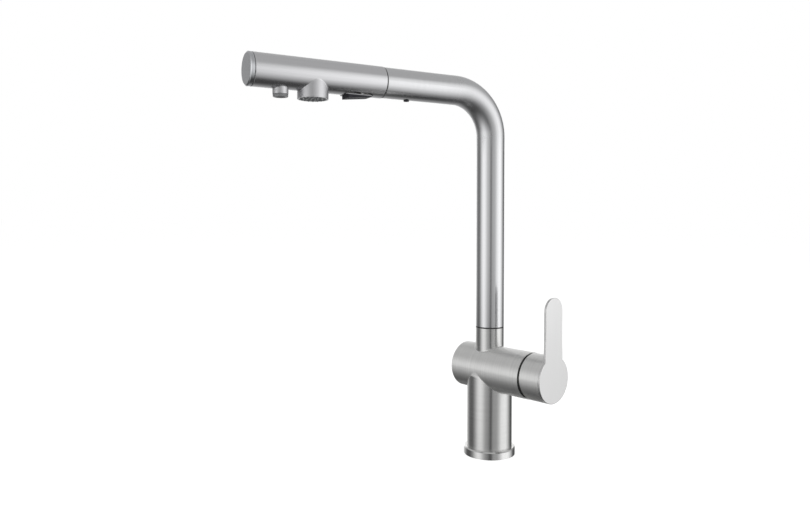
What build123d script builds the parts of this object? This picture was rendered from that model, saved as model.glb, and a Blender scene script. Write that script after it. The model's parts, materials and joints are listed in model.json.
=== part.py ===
from build123d import *
import os
from math import asin, cos, degrees, pi, radians, sqrt, tan

# Single-lever kitchen mixer with a pull-out spray head. Millimetres, +Z up.
# The origin is on the worktop, on the axis of the upright column.
# The valve barrel and its lever point to +X. The spout is built pointing to -Y and is then turned
# about Z by spout_rest_turn, the angle at which it stands at rest.

# ---- clearances ----
seat_gap = 0.1          # radial, between pieces screwed or pressed together
running_gap = 0.08      # radial, between pieces that turn or slide in each other
face_gap = 0.05         # between flat faces that rub
loose_gap = 0.3         # between moving pieces that must not touch
bottom = (Align.CENTER, Align.CENTER, Align.MIN)

# ---- worktop and base ----
worktop_thickness = 30.0
base_ring_stand = 3.1   # beyond the column, all round
base_ring_height = 7.5
base_ring_bevel = 1.0
base_ring_floor = 2.5
shank_hole_gap = 1.0    # between the shank and the base ring's floor
gasket_inset = 2.4      # from the shank to the gasket
gasket_width = 4.2
gasket_thickness = 1.5
shank_r = 16.5
shank_wall = 2.5
shank_length = 60.0
shank_chamfer = 0.8
shank_collar_stand = 2.0
shank_collar_thickness = 2.5
foot_height = 14.0
rubber_washer_r = 27.0
rubber_washer_thickness = 3.0
clamp_washer_r = 28.0
clamp_washer_thickness = 2.5
nut_across_flats = 46.0
nut_height = 9.0
nut_shoulder_r = 25.5
nut_shoulder_thickness = 2.0

# ---- body: column, barrel and neck welded into a tee ----
column_r = 22.3
column_wall = 2.2
barrel_over_column = 0.05    # the barrel's radius beyond the column's
barrel_wall = 2.2
barrel_axis_z = 85.8
barrel_end_x = -32.0
barrel_mouth_x = 52.8
barrel_end_round = 1.3
neck_weld_round = 1.6
neck_height = 18.25     # of the neck's top above the barrel
tube_r = 14.0
tube_wall = 1.5
swivel_ring_thickness = 1.2
swivel_ring_inset = 0.15

# ---- spout ----
spout_rest_turn = -12.75
swivel_reach = 60.0     # each way from straight ahead
spout_axis_z = 358.3
spout_bend_r = 43.0
spout_mouth_s = 121.9   # s is the distance from the column's axis along the spout arm
spigot_length = 42.0
spigot_rise = 23.6      # of the spigot's top above the neck
spigot_hose_gap = 2.5   # round the hose
spigot_relief = 0.5
glide_ring_width = 3.0
glide_ring_depth = 1.2
glide_ring_margin = 1.2
stop_screw_r = 2.0
stop_screw_drop = 8.9   # below the neck's top
stop_screw_recess = 0.2
stop_screw_socket_r = 1.0
stop_screw_socket = 1.2
stop_groove_depth = 1.4
docking_bush_length = 30.0
docking_bush_lip = 1.4  # wall at the mouth
docking_bush_recess = 0.6
docking_screw_back = 25.9    # from the spout's mouth
docking_screw_r = 2.5
docking_screw_stand = 1.0
docking_screw_bite = 2.5     # into the bush
docking_screw_socket_r = 1.2
docking_screw_socket = 1.8

# ---- hose ----
hose_r = 5.5
hose_shank_gap = 1.0    # to the shank's wall
hose_block_gap = 1.0    # to the valve block
hose_shift_up = 24.2    # the hose moves sideways between these heights above
hose_shift_down = 23.8  # and below the barrel's axis
hose_tail = 2.0         # below the shank
ferrule_wall = 1.2
ferrule_length = 16.0
ferrule_chamfer = 0.6
ferrule_groove = 1.2
ferrule_groove_depth = 0.35
ferrule_groove_pitch = 4.0
coupling_wall = 1.9
coupling_length = 12.0
coupling_socket_r = 4.5
coupling_socket = 8.4

# ---- spray head ----
head_stand = 0.35       # the head's radius beyond the spout tube's
head_wall = 1.6
head_length = 125.3     # from the spout's mouth to the front
seam_ring_thickness = 0.8
seam_ring_inset = 0.45
head_edge_round = 0.4
front_cap_depth = 4.0
front_cap_plug = 5.0
front_cap_wall = 1.6
front_cap_end_wall = 2.0
front_cap_seam = 0.25
front_cap_face_inset = 1.35
front_cap_bevel = 0.9
front_cap_rim_chamfer = 0.3
cap_seal_back = 3.2     # from the cap's seam
cap_seal_width = 1.4
cap_seal_depth = 0.9
seal_bore_gap = 0.02    # between a seal and the bore it lies on
docking_cone_length = 20.9
cone_tip_stand = 0.7    # beyond the hose's ferrule
cone_thread_step = 1.8
cone_thread_length = 11.0
waterway_r = 3.2
core_setback = 0.4      # of the core from the head's back end
core_leg_gap = 0.6      # of the core's leg above the aerator
membrane_gap = 1.5      # of the core's leg above the shower's membrane
cone_thread_gap = 1.0   # beyond the cone's end
check_valve_r = 5.2
check_valve_wall = 1.8
check_valve_length = 9.0
check_valve_seat_gap = 0.2   # before the valve
check_valve_end_gap = 0.5    # in all, before and after it
poppet_r = 2.6
poppet_thickness = 1.2
poppet_ahead = 2.0      # of the sleeve's start
poppet_stem_r = 0.8
poppet_stem_end = 1.0   # from the sleeve's end
spider_arm = 1.2
spider_bite = 0.2       # into the sleeve's wall
waterway_rise = 3.0     # of the check valve and the galleries above the head's axis
inlet_way_r = 2.4
inlet_way_length = 34.0
drop_way_r = 2.0        # down from the inlet way to the spool
drop_way_back = 3.0     # from the inlet way's end
lift_way_r = 2.1        # up from the spool to the stream's gallery
lift_way_ahead = 2.4    # of the gallery's start
gallery_r = 2.2
gallery_back = 18.0     # from the shower's centre
shower_way_r = 4.0
shower_way_top = 4.5    # above the spool's axis
stream_way_r = 2.7
stream_way_over = 0.8   # of the stream's way above the gallery
shower_ahead = 66.6     # of the spout's mouth
shower_inset = 0.9      # the shower boss's radius is that much less than the head's
shower_wall = 1.6
shower_drop = 6.05      # below the head's underside
shower_face_recess = 0.5
shower_face_thickness = 1.8
nub_stand = 0.6         # below the shower's rim
nub_r = 0.85
nub_gap = 0.12
nub_margin = 1.6        # from the face's edge to the outer nubs
nub_ring_pitch = 3.55
nub_spacing = 3.9
nub_membrane = 1.2
stream_ahead = 95.8     # of the spout's mouth
stream_r = 6.7
stream_wall = 1.4
stream_drop = 4.25      # below the head's underside
aerator_stand = 2.3     # below the stream boss's rim
aerator_inset = 0.25
aerator_chamfer = 0.4
aerator_bore_r = 4.3
aerator_neck = 3.6
aerator_seam = 0.15
screen_recess = 0.8
screen_thickness = 1.6
screen_hole_r = 0.85
screen_hole_ring_r = 2.7

# ---- rocker that switches stream and spray ----
rocker_ahead = 22.1     # of its pivot, from the spout's mouth
rocker_root_reach = 9.7      # from the pivot to the root
rocker_tip_reach = 16.3      # from the pivot to the tip
rocker_width = 14.5
rocker_plate_thickness = 0.9
rocker_plate_sink = 0.95     # of the plate's top above the head's underside
rocker_corner = 2.2
pad_inset = 0.25
pad_tip_inset = 1.8
pad_tip_thickness = 3.1
pad_root_thickness = 0.6
pocket_gap = 0.45
pocket_end_gap = 0.8
pocket_depth = 4.1      # above the head's underside
rocker_pin_r = 0.9
rocker_pin_rise = 2.55  # above the head's underside
rocker_ear_r = 1.3
rocker_ear_height = 3.0
rocker_hub_r = 1.25
rocker_hub_width = 8.6
rocker_web_bite = 0.2   # of the hub's web into the plate
rocker_ear_thickness = 1.8
rocker_side_gap = 0.25
spool_rise = 7.85       # above the head's underside
spool_r = 3.0
spool_length = 22.0
spool_back = 5.5        # from the rocker's pivot
spool_bore_back = 7.0
spool_slot = 2.3
spool_lands = (11.5, 17.5)
spool_groove = 1.6
spool_groove_depth = 0.8
spool_waist_r = 1.0
spool_waist_side = 0.3  # beyond the finger, each side
spool_waist_height = 5.0
spool_neck_width = 3.4
spool_neck_height = 1.4
spool_neck_rise = 1.9
spool_ring_stand = 0.02
spool_ring_gap = 0.1    # each side, in the groove
finger_r = 0.95
finger_width = 3.0
finger_neck = 1.4
finger_side_gap = 0.5
finger_slot_length = 5.2

# ---- cartridge and handle ----
cup_back_wall = 9.5
cup_bore_r = 17.6
cup_setback = 5.8       # of the cup's rim from the barrel's mouth
block_drop = 33.8       # of the block's foot below the barrel's axis
block_rise = 12.2
port_r = 4.5
port_thread = 12.0
channel_r = 3.0
riser_r = 3.4
port_boss_r = 6.0
inlet_from_hose = 9.0
inlet_y = 9.2
outlet_from_inlet = 7.8
seat_inlet_y = 8.6
seat_inlet_drop = 4.0
seat_outlet_rise = 7.0
cartridge_r = 17.45
cartridge_base_thickness = 3.0
disc_thickness = 3.5
fixed_disc_r = 13.5
moving_disc_r = 10.5
mixing_hollow_width = 11.0
mixing_hollow_height = 9.0
mixing_hollow_corner = 4.0
mixing_hollow_shift = 1.5
mixing_hollow_depth = 2.1
carrier_thickness = 4.0
carrier_floor = 0.4
carrier_rail_inset = 1.5
ball_gap = 0.15
seal_lip = 0.4          # of the seat between a channel and its seal
seal_width = 1.1
seal_height = 1.0
disc_port_inset = 0.4
turret_setback = 2.0    # of the turret's end from the cup's rim
turret_r = 11.0
turret_nose = 7.0       # beyond the cartridge's shoulder
turret_skirt_r = 14.0
cartridge_shoulder_wall = 3.0
pivot_setback = 5.0     # of the tilt pivot from the turret's end
stem_ball_r = 3.0
stem_ball_reach = 9.4
stem_neck_r = 2.4
stem_square = 7.0
stem_cheek = 0.5
stem_slot_height = 10.4
stem_block_back = 4.0
stem_block_length = 8.5
stem_chamfer = 0.6
stem_pin_r = 1.5
stem_pin_inset = 0.6    # of its ends from the turret's side
nut_ring_setback = 1.0  # of the nut's collar from the cup's rim
nut_ring_bore_r = 13.7
nut_ring_flats = 30.0
nut_ring_hex = 3.0
dome_lip_inset = 1.0
dome_wall = 1.6
dome_hole_r = 9.3
dome_skirt_wall = 1.75
skirt_end_gap = 0.2
handle_inset = 0.35     # the handle's radius is that much less than the barrel's
handle_gap = 2.1
handle_relief = 2.2     # extra gap at the bottom, so that the handle can tilt
handle_length = 21.2
cap_wall = 1.55
cap_end_wall = 2.2
cap_hub_r = 7.6
cap_hub_depth = 10.8    # from the lever plate's back
stem_end_depth = 4.1    # from the lever plate's back
lever_thickness = 2.2
lever_face_edge = 0.5
lever_rise = 76.3       # heights above the barrel's axis
lever_shoulder_rise = 21.2
lever_straight_rise = 38.2
lever_half_width = 12.5
lever_root_half_width = 13.1
lever_screw_r = 2.5
lever_screw_length = 5.5
lever_screw_socket_r = 1.25
lever_screw_socket = 2.2
lever_screw_depth = 7.1      # from the lever plate's back

# ---- worked out from the sizes above ----
barrel_r = column_r + barrel_over_column
base_ring_r = column_r + base_ring_stand
column_bore_r = column_r - column_wall
barrel_bore_r = barrel_r - barrel_wall
tube_bore_r = tube_r - tube_wall
shank_bore_r = shank_r - shank_wall
gasket_inner_r = shank_r + gasket_inset
gasket_outer_r = gasket_inner_r + gasket_width
neck_top_z = barrel_axis_z + barrel_r + neck_height
spout_foot_z = neck_top_z + swivel_ring_thickness + face_gap
spigot_top_z = neck_top_z + spigot_rise
stop_screw_z = neck_top_z - stop_screw_drop
docking_screw_s = spout_mouth_s - docking_screw_back
hose_offset = shank_bore_r - hose_r - hose_shank_gap    # sideways, where it passes the valve block
hose_end_z = -shank_length - hose_tail
ferrule_r = hose_r + ferrule_wall
spigot_bore_r = hose_r + spigot_hose_gap
head_r = tube_r + head_stand
head_back_s = spout_mouth_s + face_gap + seam_ring_thickness
head_front_s = spout_mouth_s + head_length
head_bore_r = head_r - head_wall
head_low_z = spout_axis_z - head_r
core_r = head_bore_r - seat_gap
cap_seam_s = head_front_s - front_cap_depth
cone_start_s = spout_mouth_s + face_gap
docking_cone_tip_s = spout_mouth_s - docking_cone_length
docking_cone_tip_r = ferrule_r + cone_tip_stand
docking_cone_root_r = tube_bore_r - seat_gap - docking_bush_lip - loose_gap
cone_thread_r = docking_cone_root_r - cone_thread_step
shower_s = spout_mouth_s + shower_ahead
shower_r = head_r - shower_inset
shower_rim_z = head_low_z - shower_drop
shower_face_r = shower_r - shower_wall - seat_gap
nub_tip_z = shower_rim_z - nub_stand
stream_s = spout_mouth_s + stream_ahead
stream_rim_z = head_low_z - stream_drop
aerator_bottom_z = stream_rim_z - aerator_stand
rocker_pivot_s = spout_mouth_s + rocker_ahead
rocker_root_s = rocker_pivot_s - rocker_root_reach
rocker_tip_s = rocker_pivot_s + rocker_tip_reach
rocker_plate_top_z = head_low_z + rocker_plate_sink
rocker_pin_z = head_low_z + rocker_pin_rise
spool_z = head_low_z + spool_rise
spool_start_s = rocker_pivot_s - spool_back
cup_mouth_x = barrel_mouth_x - cup_setback
turret_end_x = cup_mouth_x - turret_setback
tilt_pivot_x = turret_end_x - pivot_setback
cartridge_shoulder_x = turret_end_x - turret_nose
stem_ball_x = tilt_pivot_x - stem_ball_reach
carrier_start_x = stem_ball_x - stem_ball_r - carrier_floor - ball_gap
moving_start_x = carrier_start_x - disc_thickness
seal_bore_r = channel_r + seal_lip
disc_start_x = moving_start_x - face_gap - disc_thickness
seat_x = disc_start_x - cartridge_base_thickness
block_back_x = seat_x - cup_back_wall
block_bottom_z = barrel_axis_z - block_drop
inlet_x = inlet_from_hose - hose_offset
outlet_x = inlet_x + outlet_from_inlet
nut_ring_end_x = cup_mouth_x - nut_ring_setback
turret_start_x = carrier_start_x + carrier_thickness + face_gap
handle_r = barrel_r - handle_inset
handle_start_x = barrel_mouth_x + handle_gap
lever_back_x = handle_start_x + handle_length
cap_hub_start_x = lever_back_x - cap_hub_depth
stem_end_x = lever_back_x - stem_end_depth
lever_screw_x = lever_back_x - lever_screw_depth


# ---- helpers ----
def disc(radius, height):
    """Cylinder standing on the XY plane."""
    return Cylinder(radius, height, align=bottom)


def ring(outer_r, inner_r, height):
    """Plain ring standing on the XY plane."""
    return disc(outer_r, height) - disc(inner_r, height)


def turned(outline):
    """Solid turned about Z from (radius, height) points."""
    return revolve(Plane.XZ * Polygon(*outline, align=None), Axis.Z)


def on_arm(s, z=spout_axis_z):
    """Place on the spout arm: local X sideways, local Y up, local Z along the arm."""
    return Plane(origin=(0, -s, z), x_dir=(1, 0, 0), z_dir=(0, -1, 0))


def on_barrel(x, z=barrel_axis_z):
    """Place on the barrel: local X to +Y, local Y up, local Z along the barrel."""
    return Plane(origin=(x, 0, z), x_dir=(0, 1, 0), z_dir=(1, 0, 0))


def turn_to_rest(shape):
    """Turn a spout or head piece from straight ahead to where it rests."""
    return Rot(0, 0, spout_rest_turn) * shape


def run_with_bend(radius, low_z, end_s):
    """Solid rod up the column's axis, round the bend and along the arm."""
    upright_top = spout_axis_z - spout_bend_r
    upright = Pos(0, 0, low_z) * disc(radius, upright_top - low_z)
    section = Pos(0, 0, upright_top) * Circle(radius)
    bend_axis = Axis((0, -spout_bend_r, upright_top), (1, 0, 0))
    bend = revolve(section, bend_axis, 90)
    arm = on_arm(spout_bend_r) * disc(radius, end_s - spout_bend_r)
    return upright + bend + arm


# ---- base ----
def base_ring():
    top_r = base_ring_r - base_ring_bevel
    seat_r = column_r + seat_gap
    hole_r = shank_r + shank_hole_gap
    outline = [
        (hole_r, 0),
        (base_ring_r, 0),
        (base_ring_r, base_ring_height - base_ring_bevel),
        (top_r, base_ring_height),
        (seat_r, base_ring_height),
        (seat_r, base_ring_floor),
        (hole_r, base_ring_floor),
    ]
    groove = ring(gasket_outer_r + seat_gap, gasket_inner_r - seat_gap, gasket_thickness)
    return turned(outline) - groove


def base_gasket():
    return ring(gasket_outer_r, gasket_inner_r, gasket_thickness)


def foot_insert():
    outer_r = column_bore_r - seat_gap
    return Pos(0, 0, base_ring_floor) * ring(outer_r, shank_r + seat_gap, foot_height)


def threaded_shank():
    collar_z = base_ring_floor + foot_height
    collar_top = collar_z + shank_collar_thickness
    shank_collar_r = shank_r + shank_collar_stand
    outline = [
        (shank_bore_r, -shank_length),
        (shank_r - shank_chamfer, -shank_length),
        (shank_r, -shank_length + shank_chamfer),
        (shank_r, collar_z),
        (shank_collar_r, collar_z),
        (shank_collar_r, collar_top),
        (shank_bore_r, collar_top),
    ]
    return turned(outline)


def rubber_washer():
    washer_z = -worktop_thickness - rubber_washer_thickness
    return Pos(0, 0, washer_z) * ring(rubber_washer_r, shank_r + seat_gap, rubber_washer_thickness)


def clamp_washer():
    washer_z = -worktop_thickness - rubber_washer_thickness - clamp_washer_thickness
    return Pos(0, 0, washer_z) * ring(clamp_washer_r, shank_r + seat_gap, clamp_washer_thickness)


def mounting_nut():
    top_z = -worktop_thickness - rubber_washer_thickness - clamp_washer_thickness
    shoulder_z = top_z - nut_shoulder_thickness
    hexagon = RegularPolygon(nut_across_flats / 2, 6, major_radius=False)
    hex_part = Pos(0, 0, shoulder_z - nut_height) * extrude(hexagon, nut_height)
    shoulder = Pos(0, 0, shoulder_z) * disc(nut_shoulder_r, nut_shoulder_thickness)
    full_height = nut_height + nut_shoulder_thickness
    bore = Pos(0, 0, shoulder_z - nut_height) * disc(shank_r + seat_gap, full_height)
    return hex_part + shoulder - bore


# ---- body ----
def body_shell():
    column = Pos(0, 0, base_ring_floor) * disc(column_r, barrel_axis_z - base_ring_floor)
    barrel = on_barrel(barrel_end_x) * disc(barrel_r, barrel_mouth_x - barrel_end_x)
    end_edge = barrel.edges().filter_by(GeomType.CIRCLE).sort_by(Axis.X)[0]
    barrel = fillet(end_edge, barrel_end_round)
    neck = Pos(0, 0, barrel_axis_z) * disc(tube_r, neck_top_z - barrel_axis_z)
    outside = column + (barrel + neck)
    outside = fillet([edge for edge in outside.edges() if is_neck_weld(edge)], neck_weld_round)
    column_bore = Pos(0, 0, base_ring_floor) * disc(column_bore_r, barrel_axis_z - base_ring_floor)
    barrel_bore_x = barrel_end_x + barrel_wall
    barrel_bore = on_barrel(barrel_bore_x) * disc(barrel_bore_r, barrel_mouth_x - barrel_bore_x)
    neck_bore = Pos(0, 0, barrel_axis_z) * disc(tube_bore_r, neck_top_z - barrel_axis_z)
    return outside - (column_bore + barrel_bore + neck_bore) - stop_screw_hole(seat_gap / 2)


def is_neck_weld(edge):
    """Whether an edge is the curve in which the neck meets the barrel."""
    box = edge.bounding_box()
    between = box.min.Z > barrel_axis_z + barrel_r / 2 and box.max.Z < neck_top_z - neck_height / 4
    return between and tube_r < box.size.X < 2 * tube_r + 1 and box.size.Y > tube_r


def stop_screw_hole(gap):
    """Space of the stop screw in the back of the neck, made larger by a gap."""
    start_y = tube_bore_r - stop_groove_depth
    back = Plane(origin=(0, start_y, stop_screw_z), x_dir=(1, 0, 0), z_dir=(0, 1, 0))
    return back * disc(stop_screw_r + gap, tube_r - start_y)


def swivel_stop_screw():
    start_y = tube_bore_r - stop_groove_depth + loose_gap
    back = Plane(origin=(0, start_y, stop_screw_z), x_dir=(1, 0, 0), z_dir=(0, 1, 0))
    end_y = tube_r - stop_screw_recess
    screw = back * disc(stop_screw_r, end_y - start_y)
    head = Plane(origin=(0, end_y - stop_screw_socket, stop_screw_z), x_dir=(1, 0, 0), z_dir=(0, 1, 0))
    socket = RegularPolygon(stop_screw_socket_r, 6, major_radius=False)
    return screw - head * extrude(socket, stop_screw_socket)


def swivel_ring():
    """Black glide ring that shows between the neck and the spout."""
    inner_r = tube_bore_r + seat_gap
    outer_r = tube_r - swivel_ring_inset
    return Pos(0, 0, neck_top_z) * ring(outer_r, inner_r, swivel_ring_thickness)


# ---- spout ----
def spout_tube():
    outside = run_with_bend(tube_r, spout_foot_z, spout_mouth_s)
    inside = run_with_bend(tube_bore_r, spout_foot_z, spout_mouth_s)
    tube = outside - inside
    mouth = [
        edge
        for edge in tube.edges().filter_by(GeomType.CIRCLE)
        if abs(edge.radius - tube_r) < 0.01 and abs(edge.arc_center.Y + spout_mouth_s) < 0.01
    ]
    tube = fillet(mouth, head_edge_round)
    return turn_to_rest(tube - docking_screw_space(seat_gap / 2))


def docking_screw_space(gap):
    """Space of the screw that holds the docking bush, made larger by a gap."""
    low_z = spout_axis_z - tube_r - docking_screw_stand
    length = docking_screw_stand + tube_wall + docking_screw_bite
    return Pos(0, -docking_screw_s, low_z) * disc(docking_screw_r + gap, length)


def docking_screw():
    screw = docking_screw_space(0)
    low_z = spout_axis_z - tube_r - docking_screw_stand
    socket = RegularPolygon(docking_screw_socket_r, 6, major_radius=False)
    screw -= Pos(0, -docking_screw_s, low_z) * extrude(socket, docking_screw_socket)
    return turn_to_rest(screw)


def docking_bush():
    """Plastic bush in the spout's mouth whose cone centres the head."""
    outer_r = tube_bore_r - seat_gap
    start_s = spout_mouth_s - docking_bush_length
    throat_s = docking_cone_tip_s
    throat_r = docking_cone_tip_r + loose_gap
    mouth_r = docking_cone_root_r + loose_gap
    end_s = spout_mouth_s - docking_bush_recess
    outline = [
        (throat_r, start_s),
        (outer_r, start_s),
        (outer_r, end_s),
        (mouth_r, end_s),
        (throat_r, throat_s),
    ]
    bush = on_arm(0) * turned(outline)
    return turn_to_rest(bush - docking_screw_space(seat_gap / 2))


def spout_spigot():
    """Brass spigot in the spout's foot, which turns in the neck."""
    low_z = spigot_top_z - spigot_length
    low_r = tube_bore_r - spigot_relief
    outline = [
        (spigot_bore_r, low_z),
        (low_r, low_z),
        (low_r, spout_foot_z),
        (tube_bore_r - seat_gap, spout_foot_z),
        (tube_bore_r - seat_gap, spigot_top_z),
        (spigot_bore_r, spigot_top_z),
    ]
    spigot = turned(outline)
    for ring_z in glide_ring_heights():
        groove_r = tube_bore_r - glide_ring_depth
        spigot -= Pos(0, 0, ring_z) * ring(low_r + 1, groove_r, glide_ring_width)
    return turn_to_rest(spigot - stop_groove())


def glide_ring_heights():
    low_z = spigot_top_z - spigot_length
    return (low_z + glide_ring_margin, spout_foot_z - glide_ring_margin - glide_ring_width)


def stop_groove():
    """Part-ring groove at the back whose ends stop the spout's swing."""
    groove_r = tube_bore_r - stop_groove_depth
    half_width = stop_screw_r + loose_gap
    reach = swivel_reach + degrees(asin((stop_screw_r + loose_gap) / groove_r))
    section = Pos(0, 0, stop_screw_z) * (
        Plane.YZ * Pos((groove_r + tube_bore_r) / 2, 0) * Rectangle(tube_bore_r - groove_r, 2 * half_width)
    )
    return Rot(0, 0, -reach) * revolve(section, Axis.Z, 2 * reach)


def glide_rings():
    inner_r = tube_bore_r - glide_ring_depth + seat_gap
    rings = [
        Pos(0, 0, ring_z + face_gap)
        * ring(tube_bore_r - running_gap, inner_r, glide_ring_width - 2 * face_gap)
        for ring_z in glide_ring_heights()
    ]
    return turn_to_rest(Compound(children=rings))


# ---- hose ----
def hose_riser_run():
    start_z = spout_foot_z
    return turn_to_rest(run_with_bend(hose_r, start_z, spout_bend_r + 1))


def hose_arm_run():
    start_s = spout_bend_r + 1 + face_gap
    return turn_to_rest(on_arm(start_s) * disc(hose_r, ferrule_start_s() - start_s))


def ferrule_start_s():
    return docking_cone_tip_s - ferrule_length


def hose_ferrule():
    """Crimped sleeve and nipple on the hose's end."""
    start_s = ferrule_start_s()
    outline = [
        (0, start_s),
        (ferrule_r - ferrule_chamfer, start_s),
        (ferrule_r, start_s + ferrule_chamfer),
        (ferrule_r, docking_cone_tip_s - ferrule_chamfer),
        (ferrule_r - ferrule_chamfer, docking_cone_tip_s),
        (0, docking_cone_tip_s),
    ]
    ferrule = on_arm(0) * turned(outline)
    groove = ring(ferrule_r + 1, ferrule_r - ferrule_groove_depth, ferrule_groove)
    for count in (1, 2, 3):
        ferrule -= on_arm(start_s + count * ferrule_groove_pitch) * groove
    return turn_to_rest(ferrule)


def hose_path():
    """Hose centreline from the neck down past the valve block to below the worktop."""
    top_z = barrel_axis_z + hose_shift_up
    low_z = barrel_axis_z - hose_shift_down
    corner_z = (top_z - low_z) / 4
    slant = sqrt(hose_offset ** 2 + (2 * corner_z) ** 2)
    half_turn = asin(hose_offset / slant) / 2
    radius = 0.45 * slant / tan(half_turn)
    points = [
        (0, 0, spout_foot_z - face_gap),
        (0, 0, top_z - corner_z),
        (-hose_offset, 0, low_z + corner_z),
        (-hose_offset, 0, hose_end_z),
    ]
    return FilletPolyline(*points, radius=radius)


def hose_channel(radius):
    path = hose_path()
    start = Plane(origin=path @ 0, z_dir=path % 0)
    return sweep(start * Circle(radius), path)


def hose_body_run():
    return hose_channel(hose_r)


def hose_coupling():
    """Screwed coupling on the hose's lower end."""
    low_z = hose_end_z - coupling_length
    corner_r = hose_r + coupling_wall
    hexagon = RegularPolygon(corner_r, 6)
    nut = extrude(hexagon, coupling_length) - disc(coupling_socket_r, coupling_socket)
    return Pos(-hose_offset, 0, low_z) * nut


# ---- valve block ----
def valve_block():
    """Brass block in the barrel: cartridge cup, two inlets and one outlet below it."""
    cup_r = barrel_bore_r - seat_gap
    cup = on_barrel(block_back_x) * disc(cup_r, cup_mouth_x - block_back_x)
    corners = [(inlet_x, inlet_y), (inlet_x, -inlet_y), (outlet_x, 0)]
    bosses = Sketch() + [Pos(x, y) * Circle(port_boss_r) for x, y in corners]
    plan = make_hull(bosses.edges())
    leg = Pos(0, 0, block_bottom_z) * extrude(plan, block_drop + block_rise)
    inside_barrel = on_barrel(barrel_end_x) * disc(cup_r, cup_mouth_x - barrel_end_x)
    inside_column = disc(column_bore_r - seat_gap, barrel_axis_z)
    block = cup + leg & (inside_barrel + inside_column)
    block -= on_barrel(seat_x) * disc(cup_bore_r, cup_mouth_x - seat_x)
    block -= hose_channel(hose_r + hose_block_gap)
    return block - valve_channels()


def valve_channels():
    """Three threaded ports below, each with a riser and a level channel to the cartridge seat."""
    channels = Part()
    for x, y, seat_y, height in (
        (inlet_x, inlet_y, seat_inlet_y, -seat_inlet_drop),
        (inlet_x, -inlet_y, -seat_inlet_y, -seat_inlet_drop),
        (outlet_x, 0, 0, seat_outlet_rise),
    ):
        level_z = barrel_axis_z + height
        place = Pos(x, y, block_bottom_z)
        channels += place * disc(port_r, port_thread)
        channels += place * disc(riser_r, level_z + riser_r - block_bottom_z)
        channels += on_barrel(x, level_z) * Pos(seat_y, 0) * disc(channel_r, seat_x - x)
    return channels


# ---- cartridge ----
def seat_ports():
    """Port centres on the cartridge seat, as (y, height) from the barrel's axis."""
    return (
        (seat_inlet_y, -seat_inlet_drop),
        (-seat_inlet_y, -seat_inlet_drop),
        (0, seat_outlet_rise),
    )


def cartridge_seals():
    seals = [
        on_barrel(seat_x) * Pos(y, z) * ring(seal_bore_r + seal_width, seal_bore_r, seal_height)
        for y, z in seat_ports()
    ]
    return Compound(children=seals)


def cartridge_base():
    base = on_barrel(seat_x) * disc(cartridge_r, cartridge_base_thickness)
    for y, z in seat_ports():
        place = on_barrel(seat_x) * Pos(y, z)
        base -= place * disc(channel_r, cartridge_base_thickness)
        base -= place * disc(seal_bore_r + seal_width + seat_gap, seal_height + face_gap)
    return base


def fixed_disc():
    plate = on_barrel(disc_start_x) * disc(fixed_disc_r, disc_thickness)
    for y, z in seat_ports():
        plate -= on_barrel(disc_start_x) * Pos(y, z) * disc(channel_r - disc_port_inset, disc_thickness)
    return plate


def moving_disc():
    plate = on_barrel(moving_start_x) * disc(moving_disc_r, disc_thickness)
    outline = RectangleRounded(mixing_hollow_width, mixing_hollow_height, mixing_hollow_corner)
    hollow = Pos(0, mixing_hollow_shift) * extrude(outline, mixing_hollow_depth)
    return plate - on_barrel(moving_start_x) * hollow


def disc_carrier():
    """Slides between the turret's rails and is driven by the stem's ball."""
    body = on_barrel(carrier_start_x) * disc(moving_disc_r, carrier_thickness)
    rails = on_barrel(carrier_start_x) * extrude(
        Rectangle(2 * (moving_disc_r - carrier_rail_inset), 4 * moving_disc_r), carrier_thickness
    )
    pocket = on_barrel(carrier_start_x + carrier_floor) * disc(stem_ball_r + ball_gap, carrier_thickness)
    return (body & rails) - pocket


def cartridge_housing():
    start_x = disc_start_x
    outline = [
        (turret_skirt_r + running_gap, start_x),
        (cartridge_r, start_x),
        (cartridge_r, cartridge_shoulder_x),
        (nut_ring_bore_r - seat_gap, cartridge_shoulder_x),
        (nut_ring_bore_r - seat_gap, turret_end_x),
        (turret_r + running_gap, turret_end_x),
        (turret_r + running_gap, cartridge_shoulder_x - cartridge_shoulder_wall),
        (turret_skirt_r + running_gap, cartridge_shoulder_x - cartridge_shoulder_wall),
    ]
    return on_barrel(0) * turned(outline)


def cartridge_turret():
    """Turns with the lever, guides the disc carrier and holds the stem's pin."""
    shoulder_x = cartridge_shoulder_x - cartridge_shoulder_wall - face_gap
    skirt_x = carrier_start_x + 2 * face_gap
    body = on_barrel(skirt_x) * disc(turret_skirt_r, shoulder_x - skirt_x)
    body += on_barrel(skirt_x) * disc(turret_r, turret_end_x - skirt_x)
    rail_gap = 2 * (moving_disc_r - carrier_rail_inset + running_gap)
    body -= on_barrel(carrier_start_x) * extrude(
        Rectangle(rail_gap, 4 * turret_skirt_r), turret_start_x - carrier_start_x
    )
    slot_width = stem_square + 2 * (stem_cheek + running_gap)
    stem_slot = Rectangle(slot_width, stem_slot_height)
    body -= on_barrel(carrier_start_x) * extrude(stem_slot, turret_end_x - carrier_start_x)
    return body - stem_pin_space(seat_gap / 2)


def stem_pin_space(gap):
    length = 2 * (turret_r - stem_pin_inset)
    across = Plane(origin=(tilt_pivot_x, -length / 2, barrel_axis_z), x_dir=(1, 0, 0), z_dir=(0, 1, 0))
    return across * disc(stem_pin_r + gap, length)


def stem_pin():
    return stem_pin_space(0)


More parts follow.
